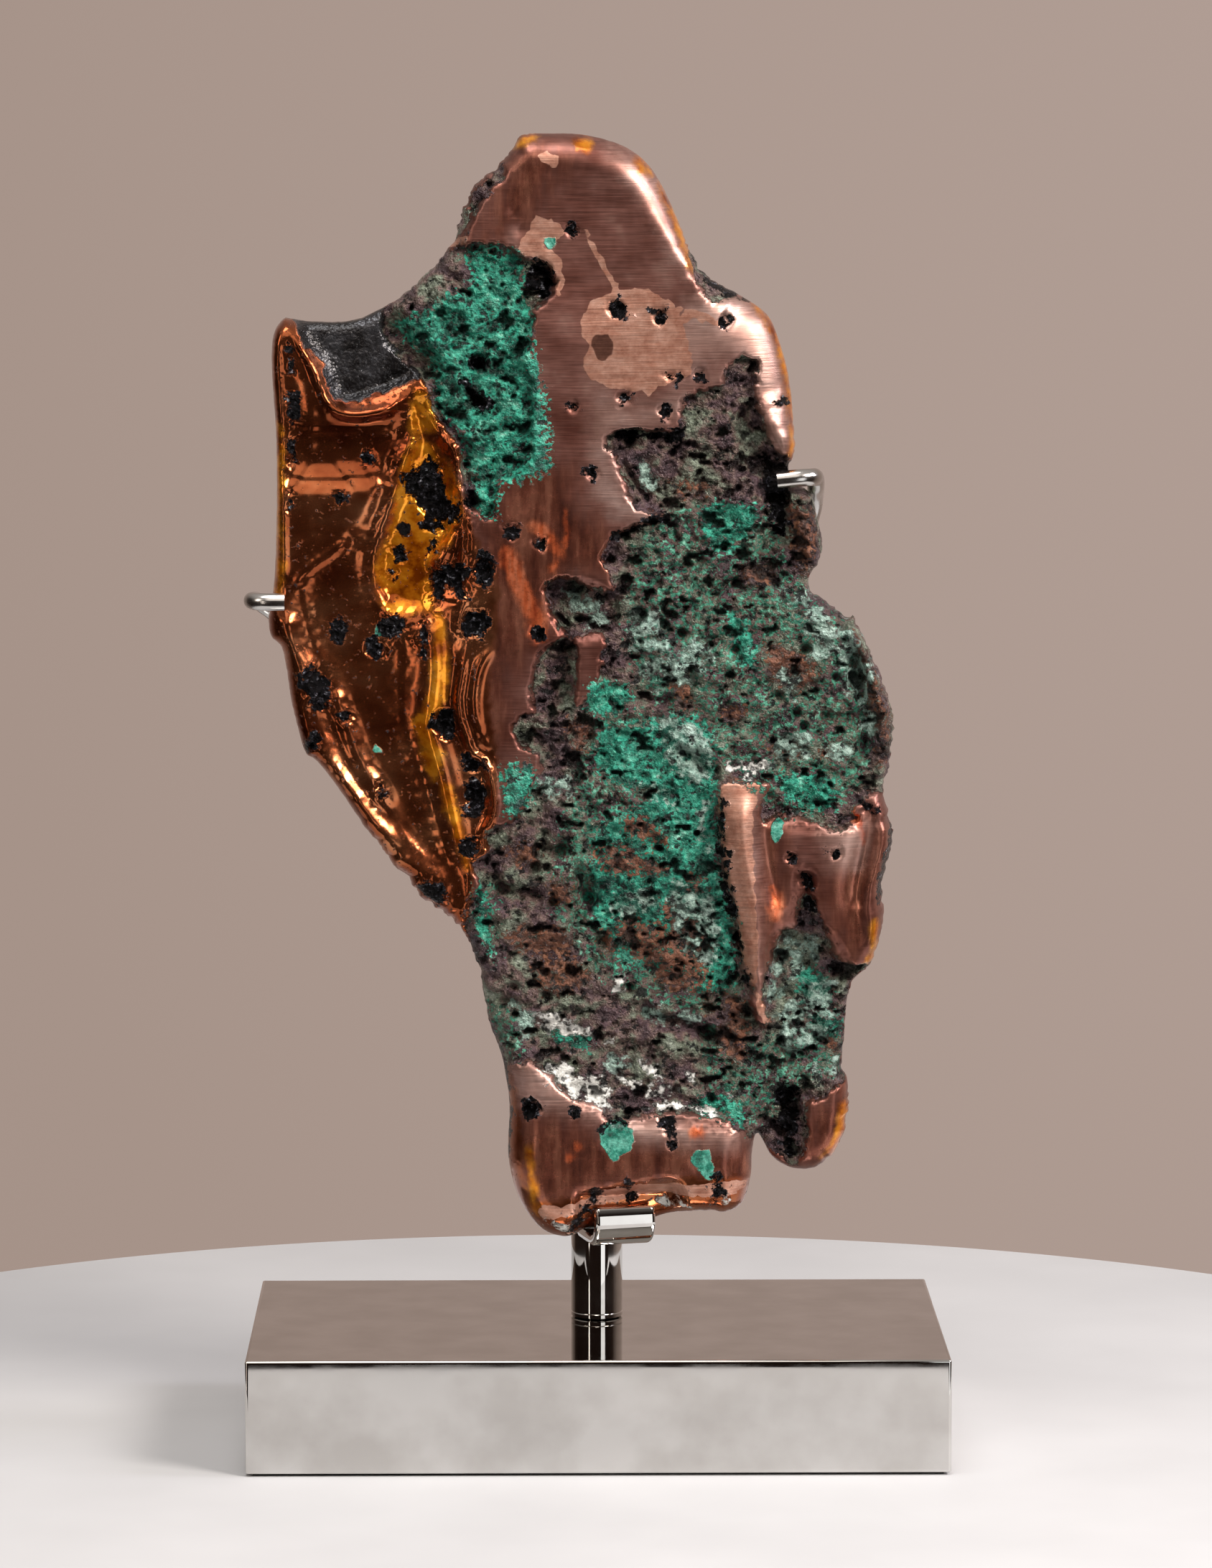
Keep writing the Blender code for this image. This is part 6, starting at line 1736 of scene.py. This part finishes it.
FINISHES = (
    # Rubbed native copper: brown and satin, with fine near-level rubbing marks.
    Finish("rubbed_copper", None, ((0.3, "#653A30"), (0.46, "#7B4F45"), (0.6, "#8D6157"), (0.75, "#A57D72")),
           Pattern.BROAD, 0.76, (0.35, 0.47), Pattern.BRUSHED, (0.78, 1.16), 0.03),
    # Brown oxide film over worn copper: darker and glossier.
    Finish("brown_film", Skin.FILM, ((0.32, "#562A1F"), (0.5, "#854C3B"), (0.68, "#AE705A")),
           Pattern.STREAK, 0.72, (0.18, 0.32), Pattern.PATCH, (0.75, 1.18), 0.04, 0.8, 0.5, Pattern.STREAK,
           0.4),
    # Pale, pinkish, finely scored copper: partly rubbed bright at the high places, partly painted highlight
    # and reflection where the shoulder, the crown's rim, the flange and its foot face the lights and the
    # table.
    Finish("scuffed_copper_and_painted_sheen", Skin.SCUFF_AND_PAINTED_SHEEN, ((0.3, "#A67D71"), (0.5, "#BF998D"), (0.7, "#D4B6AC")),
           Pattern.BROAD, 0.78, (0.34, 0.46), Pattern.BRUSHED, (0.8, 1.16), 0.035, 0.9, 0.6, Pattern.PATCH,
           0.5),
    # Folds worn to a mirror: they show their surroundings in dark copper red.
    Finish("mirror_copper", Skin.MIRROR, ((0.3, "#7C3A1F"), (0.5, "#A05835"), (0.7, "#C48058")),
           Pattern.BROAD, 0.92, (0.1, 0.24), Pattern.PATCH, (0.82, 1.12), 0.012, 1.0, 0.35, Pattern.PATCH,
           0.3),
    # A smooth yellow-orange film: thin amber tarnish, and along the left rolled rim, the crown's right edge
    # and the shoulder a painted gold highlight.
    Finish("amber_tarnish_and_painted_edge_highlight", Skin.AMBER_AND_EDGE_HIGHLIGHT, ((0.34, "#8A3E06"), (0.44, "#C86E12"), (0.54, "#EC9522"), (0.7,
                                      "#FFB440")),
           Pattern.HUE, 0.66, (0.08, 0.2), Pattern.PATCH, (0.85, 1.12), 0.012, 1.0, 0.8, Pattern.PATCH, 0.35),
    # Salmon metal with drag marks: freshly scraped copper, and on the flange's lower band a painted
    # reflection of the table.
    Finish("scraped_copper_and_painted_reflection", Skin.FRESH_AND_REFLECTION, ((0.3, "#A66B56"), (0.5, "#C4907B"), (0.7, "#DCAE9B")),
           Pattern.PATCH, 0.7, (0.36, 0.5), Pattern.BRUSHED, (0.8, 1.15), 0.04, 1.0, 0.5, Pattern.PATCH,
           0.08),
    # Old copper left inside the scraped place.
    Finish("old_copper", Skin.STALE, ((0.3, "#5A3A30"), (0.7, "#83584A")),
           Pattern.PATCH, 0.8, (0.35, 0.5), Pattern.BRUSHED, (0.85, 1.1), 0.04, 1.0, 0.5),
    # Orange-red oxide film, hard and a little glossy.
    Finish("orange_oxide", Skin.BURNT, ((0.3, "#A84222"), (0.5, "#E07044"), (0.7, "#FFA078")),
           Pattern.STREAK, 0.7, (0.22, 0.4), Pattern.FINE, (0.85, 1.1), 0.05, 0.9, 1.0, Pattern.STREAK, 0.3),
    # Dark hollow with small rounded dents.
    Finish("dark_hollow", Skin.HAMMERED, ((0.3, "#141212"), (0.5, "#292728"), (0.7, "#4C4C50")),
           Pattern.HUE, 0.5, (0.14, 0.26), Pattern.GRAIN, (0.9, 1.06), 0.13, 1.0, 0.5, Pattern.PATCH, 0.15,
           0.45),
    # Mixed copper oxide and rock crust: purplish brown to grey-green lumps with dark gaps.
    Finish("oxide_crust", Skin.CRUST, ((0.3, "#3A2D32"), (0.42, "#5A464A"), (0.5, "#6C5952"), (0.55,
                                                                                               "#68685C"),
                                       (0.62, "#76806F"), (0.7, "#98A092")),
           Pattern.HUE, 0.25, (0.14, 0.46), Pattern.FINE, (0.72, 1.58), 0.75, 1.0, 1.9, Pattern.PATCH, 0.07,
           2.9, 0.95),
    # Thin powdery green over the crust.
    Finish("green_haze", Skin.HAZE, ((0.32, "#14443B"), (0.45, "#2C6F5A"), (0.56, "#4E8E76"), (0.68,
                                                                                               "#86B8A4")),
           Pattern.PATCH, 0.1, (0.2, 0.5), Pattern.FINE, (0.8, 1.5), 0.6, 0.48, 1.7, Pattern.FINE, 0.05, 2.6,
           0.95),
    # Malachite and chrysocolla: dark to pale blue-green.
    Finish("green_copper_salts", Skin.GREEN, ((0.36, "#04302A"), (0.45, "#126552"), (0.52, "#2C9A81"),
                                              (0.6, "#4FAE94"), (0.7, "#A4DCCA")),
           Pattern.PATCH, 0.12, (0.16, 0.48), Pattern.FINE, (0.58, 1.5), 0.7, 0.74, 1.5, Pattern.FINE, 0.05,
           2.4, 0.95),
    # Red-brown cuprite, thin on the copper and caked in the crust.
    Finish("red_brown_cuprite", Skin.RUST, ((0.3, "#3A211A"), (0.5, "#6A412E"), (0.7, "#936347")),
           Pattern.PATCH, 0.1, (0.3, 0.55), Pattern.FINE, (0.5, 1.4), 0.45, 0.66, 1.7, Pattern.FINE, 0.06,
           1.5, 0.9),
    # Pale grey-green bloom.
    Finish("pale_bloom", Skin.PALE, ((0.32, "#5A7066"), (0.5, "#809E92"), (0.68, "#B8D0C6")),
           Pattern.PATCH, 0.15, (0.2, 0.5), Pattern.FINE, (0.76, 1.5), 0.65, 0.56, 1.8, Pattern.PATCH, 0.08,
           2.7, 0.94),
    # Pale white patches: partly white mineral on the crust, partly painted glare and glints on the crust by
    # the flange and on the flange's foot.
    Finish("white_mineral_and_painted_glare", Skin.WHITE, ((0.3, "#9A9A92"), (0.6, "#EDEDE8")),
           Pattern.PATCH, 0.0, (0.3, 0.5), Pattern.FINE, (0.65, 1.2), 0.25, 0.68, 1.9, Pattern.PATCH, 0.06,
           0.9, 0.8),
    # Small black specks scattered over the polished folds.
    Finish("scattered_specks", Skin.MIRROR, ((0.4, "#0A0809"), (0.6, "#232026")),
           Pattern.SPECK, 0.2, (0.15, 0.3), Pattern.FINE, (0.5, 1.2), 0.25, 0.34, 1.05, Pattern.FINE, 0.03),
    # Solid chips of turquoise-coloured chrysocolla.
    Finish("turquoise_chip", Skin.CHIP, ((0.38, "#083E33"), (0.48, "#1F7C68"), (0.64, "#74C6B2")),
           Pattern.PATCH, 0.0, (0.12, 0.35), Pattern.FINE, (0.6, 1.3), 0.3, 1.0, 0.7, Pattern.FINE, 0.1),
    # Black, glassy oxide in pits and seams, and painted shadow and shade in the recess behind the right hook,
    # in a deep hole and down the flange's left side.
    Finish("black_oxide_and_painted_shadow", Skin.DARK, ((0.3, "#040404"), (0.54, "#131215"), (0.63, "#3C3B42"), (0.71,
                                                                                               "#B4B8C0")),
           Pattern.FINE, 0.85, (0.14, 0.34), Pattern.FINE, (0.35, 1.3), 0.9, 0.94, 3.0, Pattern.PATCH, 0.05,
           1.6, 0.7),
)


@dataclass
class NativeCopper:
    """The nugget's material: its skins laid over one another, with painted shade that darkens the colour in
    holes and between grains.
    """

    # Painted shade: how far the hollow attribute darkens the colour, and the near-black it darkens towards.
    painted_shade_strength: float = 0.88
    painted_shade_colour: str = "#0C0705"
    tree: bpy.types.NodeTree = field(init=False)
    patterns: dict[Pattern, bpy.types.NodeSocket] = field(init=False, default_factory=dict)

    def material(self) -> bpy.types.Material:
        """Builds the layers and the surface.

        Returns:
            The material.
        """
        material, self.tree = blank_material("native_copper")
        place = add_node(self.tree, "ShaderNodeTexCoord").outputs["Object"]
        for pattern in Pattern:
            self.patterns[pattern] = self.pattern(place, pattern)
        colour, metallic, roughness, height = self.layer(FINISHES[0])
        for finish in FINISHES[1:]:
            cover = self.cover(finish)
            upper = self.layer(finish)
            colour = add_node(self.tree, "ShaderNodeMix", {0: cover, 6: colour, 7: upper[0]},
                              data_type="RGBA").outputs[2]
            metallic, roughness, height = (
                add_node(self.tree, "ShaderNodeMix", {0: cover, 2: low, 3: high}).outputs[0]
                for low, high in zip((metallic, roughness, height), upper[1:]))
        # Painted shade: the colour is darkened towards near-black where the mesh is hollow, in holes and
        # between grains.
        hollow = add_node(self.tree, "ShaderNodeAttribute", attribute_name="hollow").outputs["Fac"]
        shade = add_node(self.tree, "ShaderNodeMath", (hollow, self.painted_shade_strength),
                         operation="MULTIPLY").outputs[0]
        colour = add_node(self.tree, "ShaderNodeMix", {0: shade, 6: colour, 7: linear(self.painted_shade_colour)},
                          data_type="RGBA").outputs[2]
        bump = add_node(self.tree, "ShaderNodeBump", {"Strength": 1.0, "Distance": MM, "Height": height})
        surface_of(self.tree, {"Base Color": colour, "Metallic": metallic, "Roughness": roughness,
                               "Normal": bump.outputs[0]})
        return material

    def pattern(self, place: bpy.types.NodeSocket, pattern: Pattern) -> bpy.types.NodeSocket:
        """One shared pattern, from 0 to 1 and about 0.5 on average.

        Args:
            place: The Object coordinates.
            pattern: Which pattern it is.

        Returns:
            The pattern's output.
        """
        size, detail, seed = pattern.value
        scaled = add_node(self.tree, "ShaderNodeMapping",
                          {"Vector": place, "Location": (seed, 0, seed),
                           "Scale": tuple(1 / (MM * length) for length in size)}).outputs[0]
        if pattern is Pattern.GRAIN:
            cells = add_node(self.tree, "ShaderNodeTexVoronoi", {"Vector": scaled, "Scale": 1.0})
            return add_node(self.tree, "ShaderNodeMapRange",
                            {"Value": cells.outputs["Distance"], "From Min": 0.78, "From Max": 0.1,
                             "To Min": 0.25, "To Max": 0.75}, interpolation_type="SMOOTHSTEP").outputs[0]
        return add_node(self.tree, "ShaderNodeTexNoise",
                        {"Vector": scaled, "Scale": 1.0, "Detail": detail,
                         "Roughness": 0.72 if pattern is Pattern.PATCH else 0.6}).outputs["Fac"]

    def layer(self, finish: Finish) -> tuple[bpy.types.NodeSocket, ...]:
        """Colour, metallic, roughness and bump height in mm of one finish.

        Args:
            finish: The finish.

        Returns:
            The four outputs, in that order.
        """
        colour = add_node(self.tree, "ShaderNodeValToRGB", (self.patterns[finish.mottle],),
                          finish.stops).outputs[0]
        # Tone: lighter on the grain's high places and darker in its low places, partly painted shade of the
        # bump.
        low, high = finish.tone
        tone = add_node(self.tree, "ShaderNodeMapRange",
                        {"Value": self.patterns[finish.grain], "From Min": 0.3, "From Max": 0.7,
                         "To Min": low, "To Max": high}).outputs[0]
        # Painted shade: darker in the low places of the lumps.
        if finish.painted_gap_shade:
            gap = add_node(self.tree, "ShaderNodeMapRange",
                           {"Value": self.patterns[Pattern.LUMP], "From Min": 0.37, "From Max": 0.43,
                            "To Min": 1 - finish.painted_gap_shade, "To Max": 1.0}, interpolation_type="SMOOTHSTEP")
            tone = add_node(self.tree, "ShaderNodeMath", (tone, gap.outputs[0]),
                            operation="MULTIPLY").outputs[0]
        colour = add_node(self.tree, "ShaderNodeVectorMath", {0: colour, "Scale": tone},
                          operation="SCALE").outputs[0]
        metal = add_node(self.tree, "ShaderNodeValue")
        metal.outputs[0].default_value = finish.metallic
        low, high = finish.roughness
        rough = add_node(self.tree, "ShaderNodeMapRange",
                         {"Value": self.patterns[finish.grain], "From Min": 0.3, "From Max": 0.7,
                          "To Min": low, "To Max": high}).outputs[0]
        height = add_node(self.tree, "ShaderNodeMath", (self.patterns[finish.grain], finish.bump * 2),
                          operation="MULTIPLY").outputs[0]
        if finish.relief:
            height = add_node(self.tree, "ShaderNodeMath", (self.patterns[Pattern.LUMP], finish.relief * 2,
                                                            height), operation="MULTIPLY_ADD").outputs[0]
        return colour, metal.outputs[0], rough, height

    def cover(self, finish: Finish) -> bpy.types.NodeSocket:
        """How much of the surface a finish hides, ragged at its edges.

        Args:
            finish: The finish.

        Returns:
            The cover, from 0 to 1.
        """
        value = add_node(self.tree, "ShaderNodeAttribute", attribute_name=finish.skin.attribute)
        wanted = add_node(self.tree, "ShaderNodeMath", (value.outputs["Fac"], finish.cover),
                          operation="MULTIPLY").outputs[0]
        uneven = add_node(self.tree, "ShaderNodeMath",
                          (self.patterns[finish.ragged_by], finish.ragged, -finish.ragged / 2),
                          operation="MULTIPLY_ADD").outputs[0]
        total = add_node(self.tree, "ShaderNodeMath", (wanted, uneven), operation="ADD").outputs[0]
        step = add_node(self.tree, "ShaderNodeMapRange",
                        {"Value": total, "From Min": 0.5 - finish.softness,
                         "From Max": 0.5 + finish.softness}, interpolation_type="SMOOTHSTEP")
        bare = add_node(self.tree, "ShaderNodeMapRange", {"Value": value.outputs["Fac"], "From Max": 0.12})
        return add_node(self.tree, "ShaderNodeMath", (step.outputs[0], bare.outputs[0]),
                        operation="MULTIPLY").outputs[0]


@dataclass(frozen=True)
class PolishedSteel:
    """Polished stainless steel: nearly white metal with faint wipe marks."""

    name: str
    light: str = "#D6D4D1"
    dark: str = "#C6C3BF"
    roughness: tuple[float, float] = (0.02, 0.07)
    smears_per_metre: float = 45.0  # wiping smears about 22 mm across
    waves_per_metre: float = 14.0  # polishing waves about 70 mm long
    wave_strength: float = 0.02

    def material(self) -> bpy.types.Material:
        """Builds the surface.

        Returns:
            The material.
        """
        material, tree = blank_material(self.name)
        place = add_node(tree, "ShaderNodeTexCoord").outputs["Object"]
        smear = add_node(tree, "ShaderNodeTexNoise", {"Vector": place, "Scale": self.smears_per_metre,
                                                      "Detail": 4.0}).outputs["Fac"]
        wave = add_node(tree, "ShaderNodeTexNoise", {"Vector": place, "Scale": self.waves_per_metre,
                                                     "Detail": 1.0}).outputs["Fac"]
        colour = add_node(tree, "ShaderNodeValToRGB", (smear,),
                          ((0.35, self.dark), (0.65, self.light))).outputs[0]
        rough = add_node(tree, "ShaderNodeMapRange", {"Value": smear, "From Min": 0.35, "From Max": 0.7,
                                                      "To Min": self.roughness[0],
                                                      "To Max": self.roughness[1]})
        bump = add_node(tree, "ShaderNodeBump", {"Strength": self.wave_strength, "Distance": MM,
                                                 "Height": wave})
        surface_of(tree, {"Base Color": colour, "Metallic": 1.0, "Roughness": rough.outputs[0],
                          "Normal": bump.outputs[0]})
        return material


@dataclass(frozen=True)
class BlackFelt:
    """Thin black wool felt: short matted fibres that take the light softly."""

    stops: tuple[tuple[float, str], ...] = ((0.3, "#0B0A0A"), (0.55, "#1A1817"), (0.75, "#33302E"))
    # Real fibres are about 0.03 mm thick; they are drawn at 0.4 mm so that they stay visible.
    fibres_per_metre: float = 2500.0
    fibre_height: float = 0.2
    fibre_strength: float = 0.6

    def material(self) -> bpy.types.Material:
        """Builds the surface.

        Returns:
            The material.
        """
        material, tree = blank_material("black_wool_felt")
        place = add_node(tree, "ShaderNodeTexCoord").outputs["Object"]
        fibre = add_node(tree, "ShaderNodeTexNoise", {"Vector": place, "Scale": self.fibres_per_metre,
                                                      "Detail": 4.0, "Distortion": 1.5}).outputs["Fac"]
        bump = add_node(tree, "ShaderNodeBump", {"Strength": self.fibre_strength,
                                                 "Distance": self.fibre_height * MM, "Height": fibre})
        colour = add_node(tree, "ShaderNodeValToRGB", (fibre,), self.stops).outputs[0]
        surface_of(tree, {"Base Color": colour, "Roughness": 0.95, "Sheen Weight": 0.3,
                          "Normal": bump.outputs[0]})
        return material


@dataclass(frozen=True)
class Softbox:
    """A rectangular soft light: where it hangs, what it points at, its size, power and colour."""

    name: str
    place: tuple[float, float, float]
    target: tuple[float, float, float]
    size: tuple[float, float]
    power: float
    colour: str = "#FFFFFF"

    def build(self) -> None:
        """Hangs the light."""
        light = bpy.data.lights.new(self.name, "AREA")
        light.shape = "RECTANGLE"
        light.size, light.size_y = (length * MM for length in self.size)
        light.energy = self.power
        light.color = linear(self.colour)[:3]
        lamp = bpy.data.objects.new(self.name, light)
        bpy.context.scene.collection.objects.link(lamp)
        lamp.location = Vector(self.place) * MM
        aim = Vector(self.target) - Vector(self.place)
        lamp.rotation_euler = aim.to_track_quat("-Z", "Y").to_euler()
        lamp.visible_camera = False


@dataclass(frozen=True)
class Studio:
    """The plain table, the soft light and the camera."""

    table_radius: float = 415.0
    table_middle: tuple[float, float] = (0.0, -18.0)
    table_front: float = -268.0
    table_thickness: float = 30.0
    front_bow: float = 0.00012
    clouds_per_metre: float = 9.0  # cloudy tones in the laminate about 110 mm across
    focal_length: float = 142.3
    film_height: float = 36.0
    eye_place: tuple[float, float, float] = (-25.2, -2263.6, 497.9)
    eye_tilt: float = 83.55
    eye_turn: float = -0.73
    lights: tuple[Softbox, ...] = (
        Softbox("key", (1250, -1060, 1330), (0, 0, 260), (620, 620), 41.0, "#FFF6EE"),
        Softbox("side", (1350, -200, 1150), (0, 0, 250), (400, 700), 10.0, "#F6F4FF"),
        Softbox("top", (-200, -300, 1500), (0, 0, 250), (700, 700), 10.0),
        Softbox("left", (-1300, -900, 1000), (0, 0, 250), (500, 700), 4.0, "#FFF2E6"),
        Softbox("left_strip", (-860, -1230, 300), (-60, 0, 250), (70, 900), 0.9, "#FFF2E6"),
        Softbox("front_top", (-120, -1120, 1270), (0, 0, 300), (1000, 900), 3.4, "#FFF4EA"),
        Softbox("card", (470, -913, 60), (0, -30, 82), (330, 620), 0.9),
    )

    def build(self) -> None:
        """Makes the table, the surroundings, the lights and the camera."""
        bpy.context.scene.view_settings.view_transform = "Standard"
        self.table()
        self.surroundings()
        for light in self.lights:
            light.build()
        self.camera()

    def table(self) -> None:
        """The pale table top: a disc with a straighter front and a softly rounded edge."""
        turn = np.linspace(0, 2 * math.pi, 240, endpoint=False)
        x, y = self.table_radius * np.cos(turn), self.table_radius * np.sin(turn) + self.table_middle[1]
        y = np.maximum(y, self.table_front + self.front_bow * x * x)
        mesh = bmesh.new()
        rim = [mesh.verts.new(Vector((a, b, 0)) * MM) for a, b in zip(x, y)]
        face = mesh.faces.new(rim)
        down = bmesh.ops.extrude_face_region(mesh, geom=[face])["geom"]
        bmesh.ops.translate(mesh, vec=(0, 0, -self.table_thickness * MM),
                            verts=[item for item in down if isinstance(item, bmesh.types.BMVert)])
        bmesh.ops.recalc_face_normals(mesh, faces=mesh.faces)
        top = new_piece("table_top", mesh)
        round_edges(top, 2, 4, 60)
        settle(top, 40)
        material, tree = blank_material("pale_laminate")
        place = add_node(tree, "ShaderNodeTexCoord").outputs["Object"]
        cloud = add_node(tree, "ShaderNodeTexNoise", {"Vector": place, "Scale": self.clouds_per_metre,
                                                      "Detail": 3.0}).outputs["Fac"]
        colour = add_node(tree, "ShaderNodeValToRGB", (cloud,), ((0.3, "#BEBFC1"), (0.7, "#C7C8CA")))
        surface_of(tree, {"Base Color": colour.outputs[0], "Roughness": 0.55})
        top.data.materials.append(material)

    def surroundings(self) -> None:
        """A taupe glow behind the object and a dark room in front of it."""
        world = bpy.data.worlds.new("studio")
        bpy.context.scene.world = world
        world.use_nodes = True
        tree = world.node_tree
        tree.nodes.clear()
        way = add_node(tree, "ShaderNodeTexCoord").outputs["Generated"]
        parts = add_node(tree, "ShaderNodeSeparateXYZ", {0: way})
        slant = add_node(tree, "ShaderNodeMath", (parts.outputs["X"], 0.35, parts.outputs["Y"]),
                         operation="MULTIPLY_ADD").outputs[0]
        back = add_node(tree, "ShaderNodeMapRange", {"Value": slant, "From Min": -0.2,
                                                     "From Max": 1.05}).outputs[0]
        colour = add_node(tree, "ShaderNodeValToRGB", (back,),
                          ((0.0, "#1E1511"), (0.22, "#2E221C"), (0.6, "#8A7A71"), (0.93, "#A69389"),
                           (1.0, "#B29F96"))).outputs[0]
        up = add_node(tree, "ShaderNodeMapRange", {"Value": parts.outputs["Z"], "From Min": 0.3,
                                                   "From Max": 0.95}, interpolation_type="SMOOTHSTEP")
        room = add_node(tree, "ShaderNodeMix", {0: up.outputs[0], 6: colour, 7: linear("#B5AEA8")},
                        data_type="RGBA")
        glow = add_node(tree, "ShaderNodeBackground", {"Color": room.outputs[2], "Strength": 1.0})
        add_node(tree, "ShaderNodeOutputWorld", {"Surface": glow.outputs[0]})

    def camera(self) -> None:
        """A long lens, a little above the object's middle."""
        lens = bpy.data.cameras.new("camera")
        lens.sensor_fit = "VERTICAL"
        lens.sensor_height = lens.sensor_width = self.film_height
        lens.lens = self.focal_length
        eye = bpy.data.objects.new("camera", lens)
        bpy.context.scene.collection.objects.link(eye)
        eye.location = Vector(self.eye_place) * MM
        eye.rotation_euler = Euler((math.radians(self.eye_tilt), 0, math.radians(self.eye_turn)), "XYZ")
        bpy.context.scene.camera = eye


def main() -> None:
    """Builds every piece, dresses it and places it on the frame."""
    logging.basicConfig(level=logging.INFO, format="%(name)s: %(message)s")
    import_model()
    steel, felt = PolishedSteel("mirror_polished_stainless_steel").material(), BlackFelt().material()
    satin = PolishedSteel("satin_stainless_rod", roughness=(0.2, 0.3)).material()
    stand, saddle = Stand(), Saddle()
    left_low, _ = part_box("left_prong")
    right_low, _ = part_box("right_prong")
    legs = ((-116.0, 312.4, 8.0, left_low[1] / MM + 6.9), (72.0, 355.6, 12.0, right_low[1] / MM + 6.9))
    nugget = CopperNugget(saddle, legs).build()
    dress(nugget, "copper_nugget", NativeCopper().material())
    dress(stand.block(), "base_block", steel)
    dress(stand.pad(), "felt_pad", felt)
    dress(stand.post(), "post", steel)
    dress(saddle.build(), "saddle", steel)
    dress(stand.left_hook().build(satin), "left_prong", satin)
    dress(stand.right_hook().build(satin), "right_prong", satin)
    Studio().build()


if __name__ == "__main__":
    main()
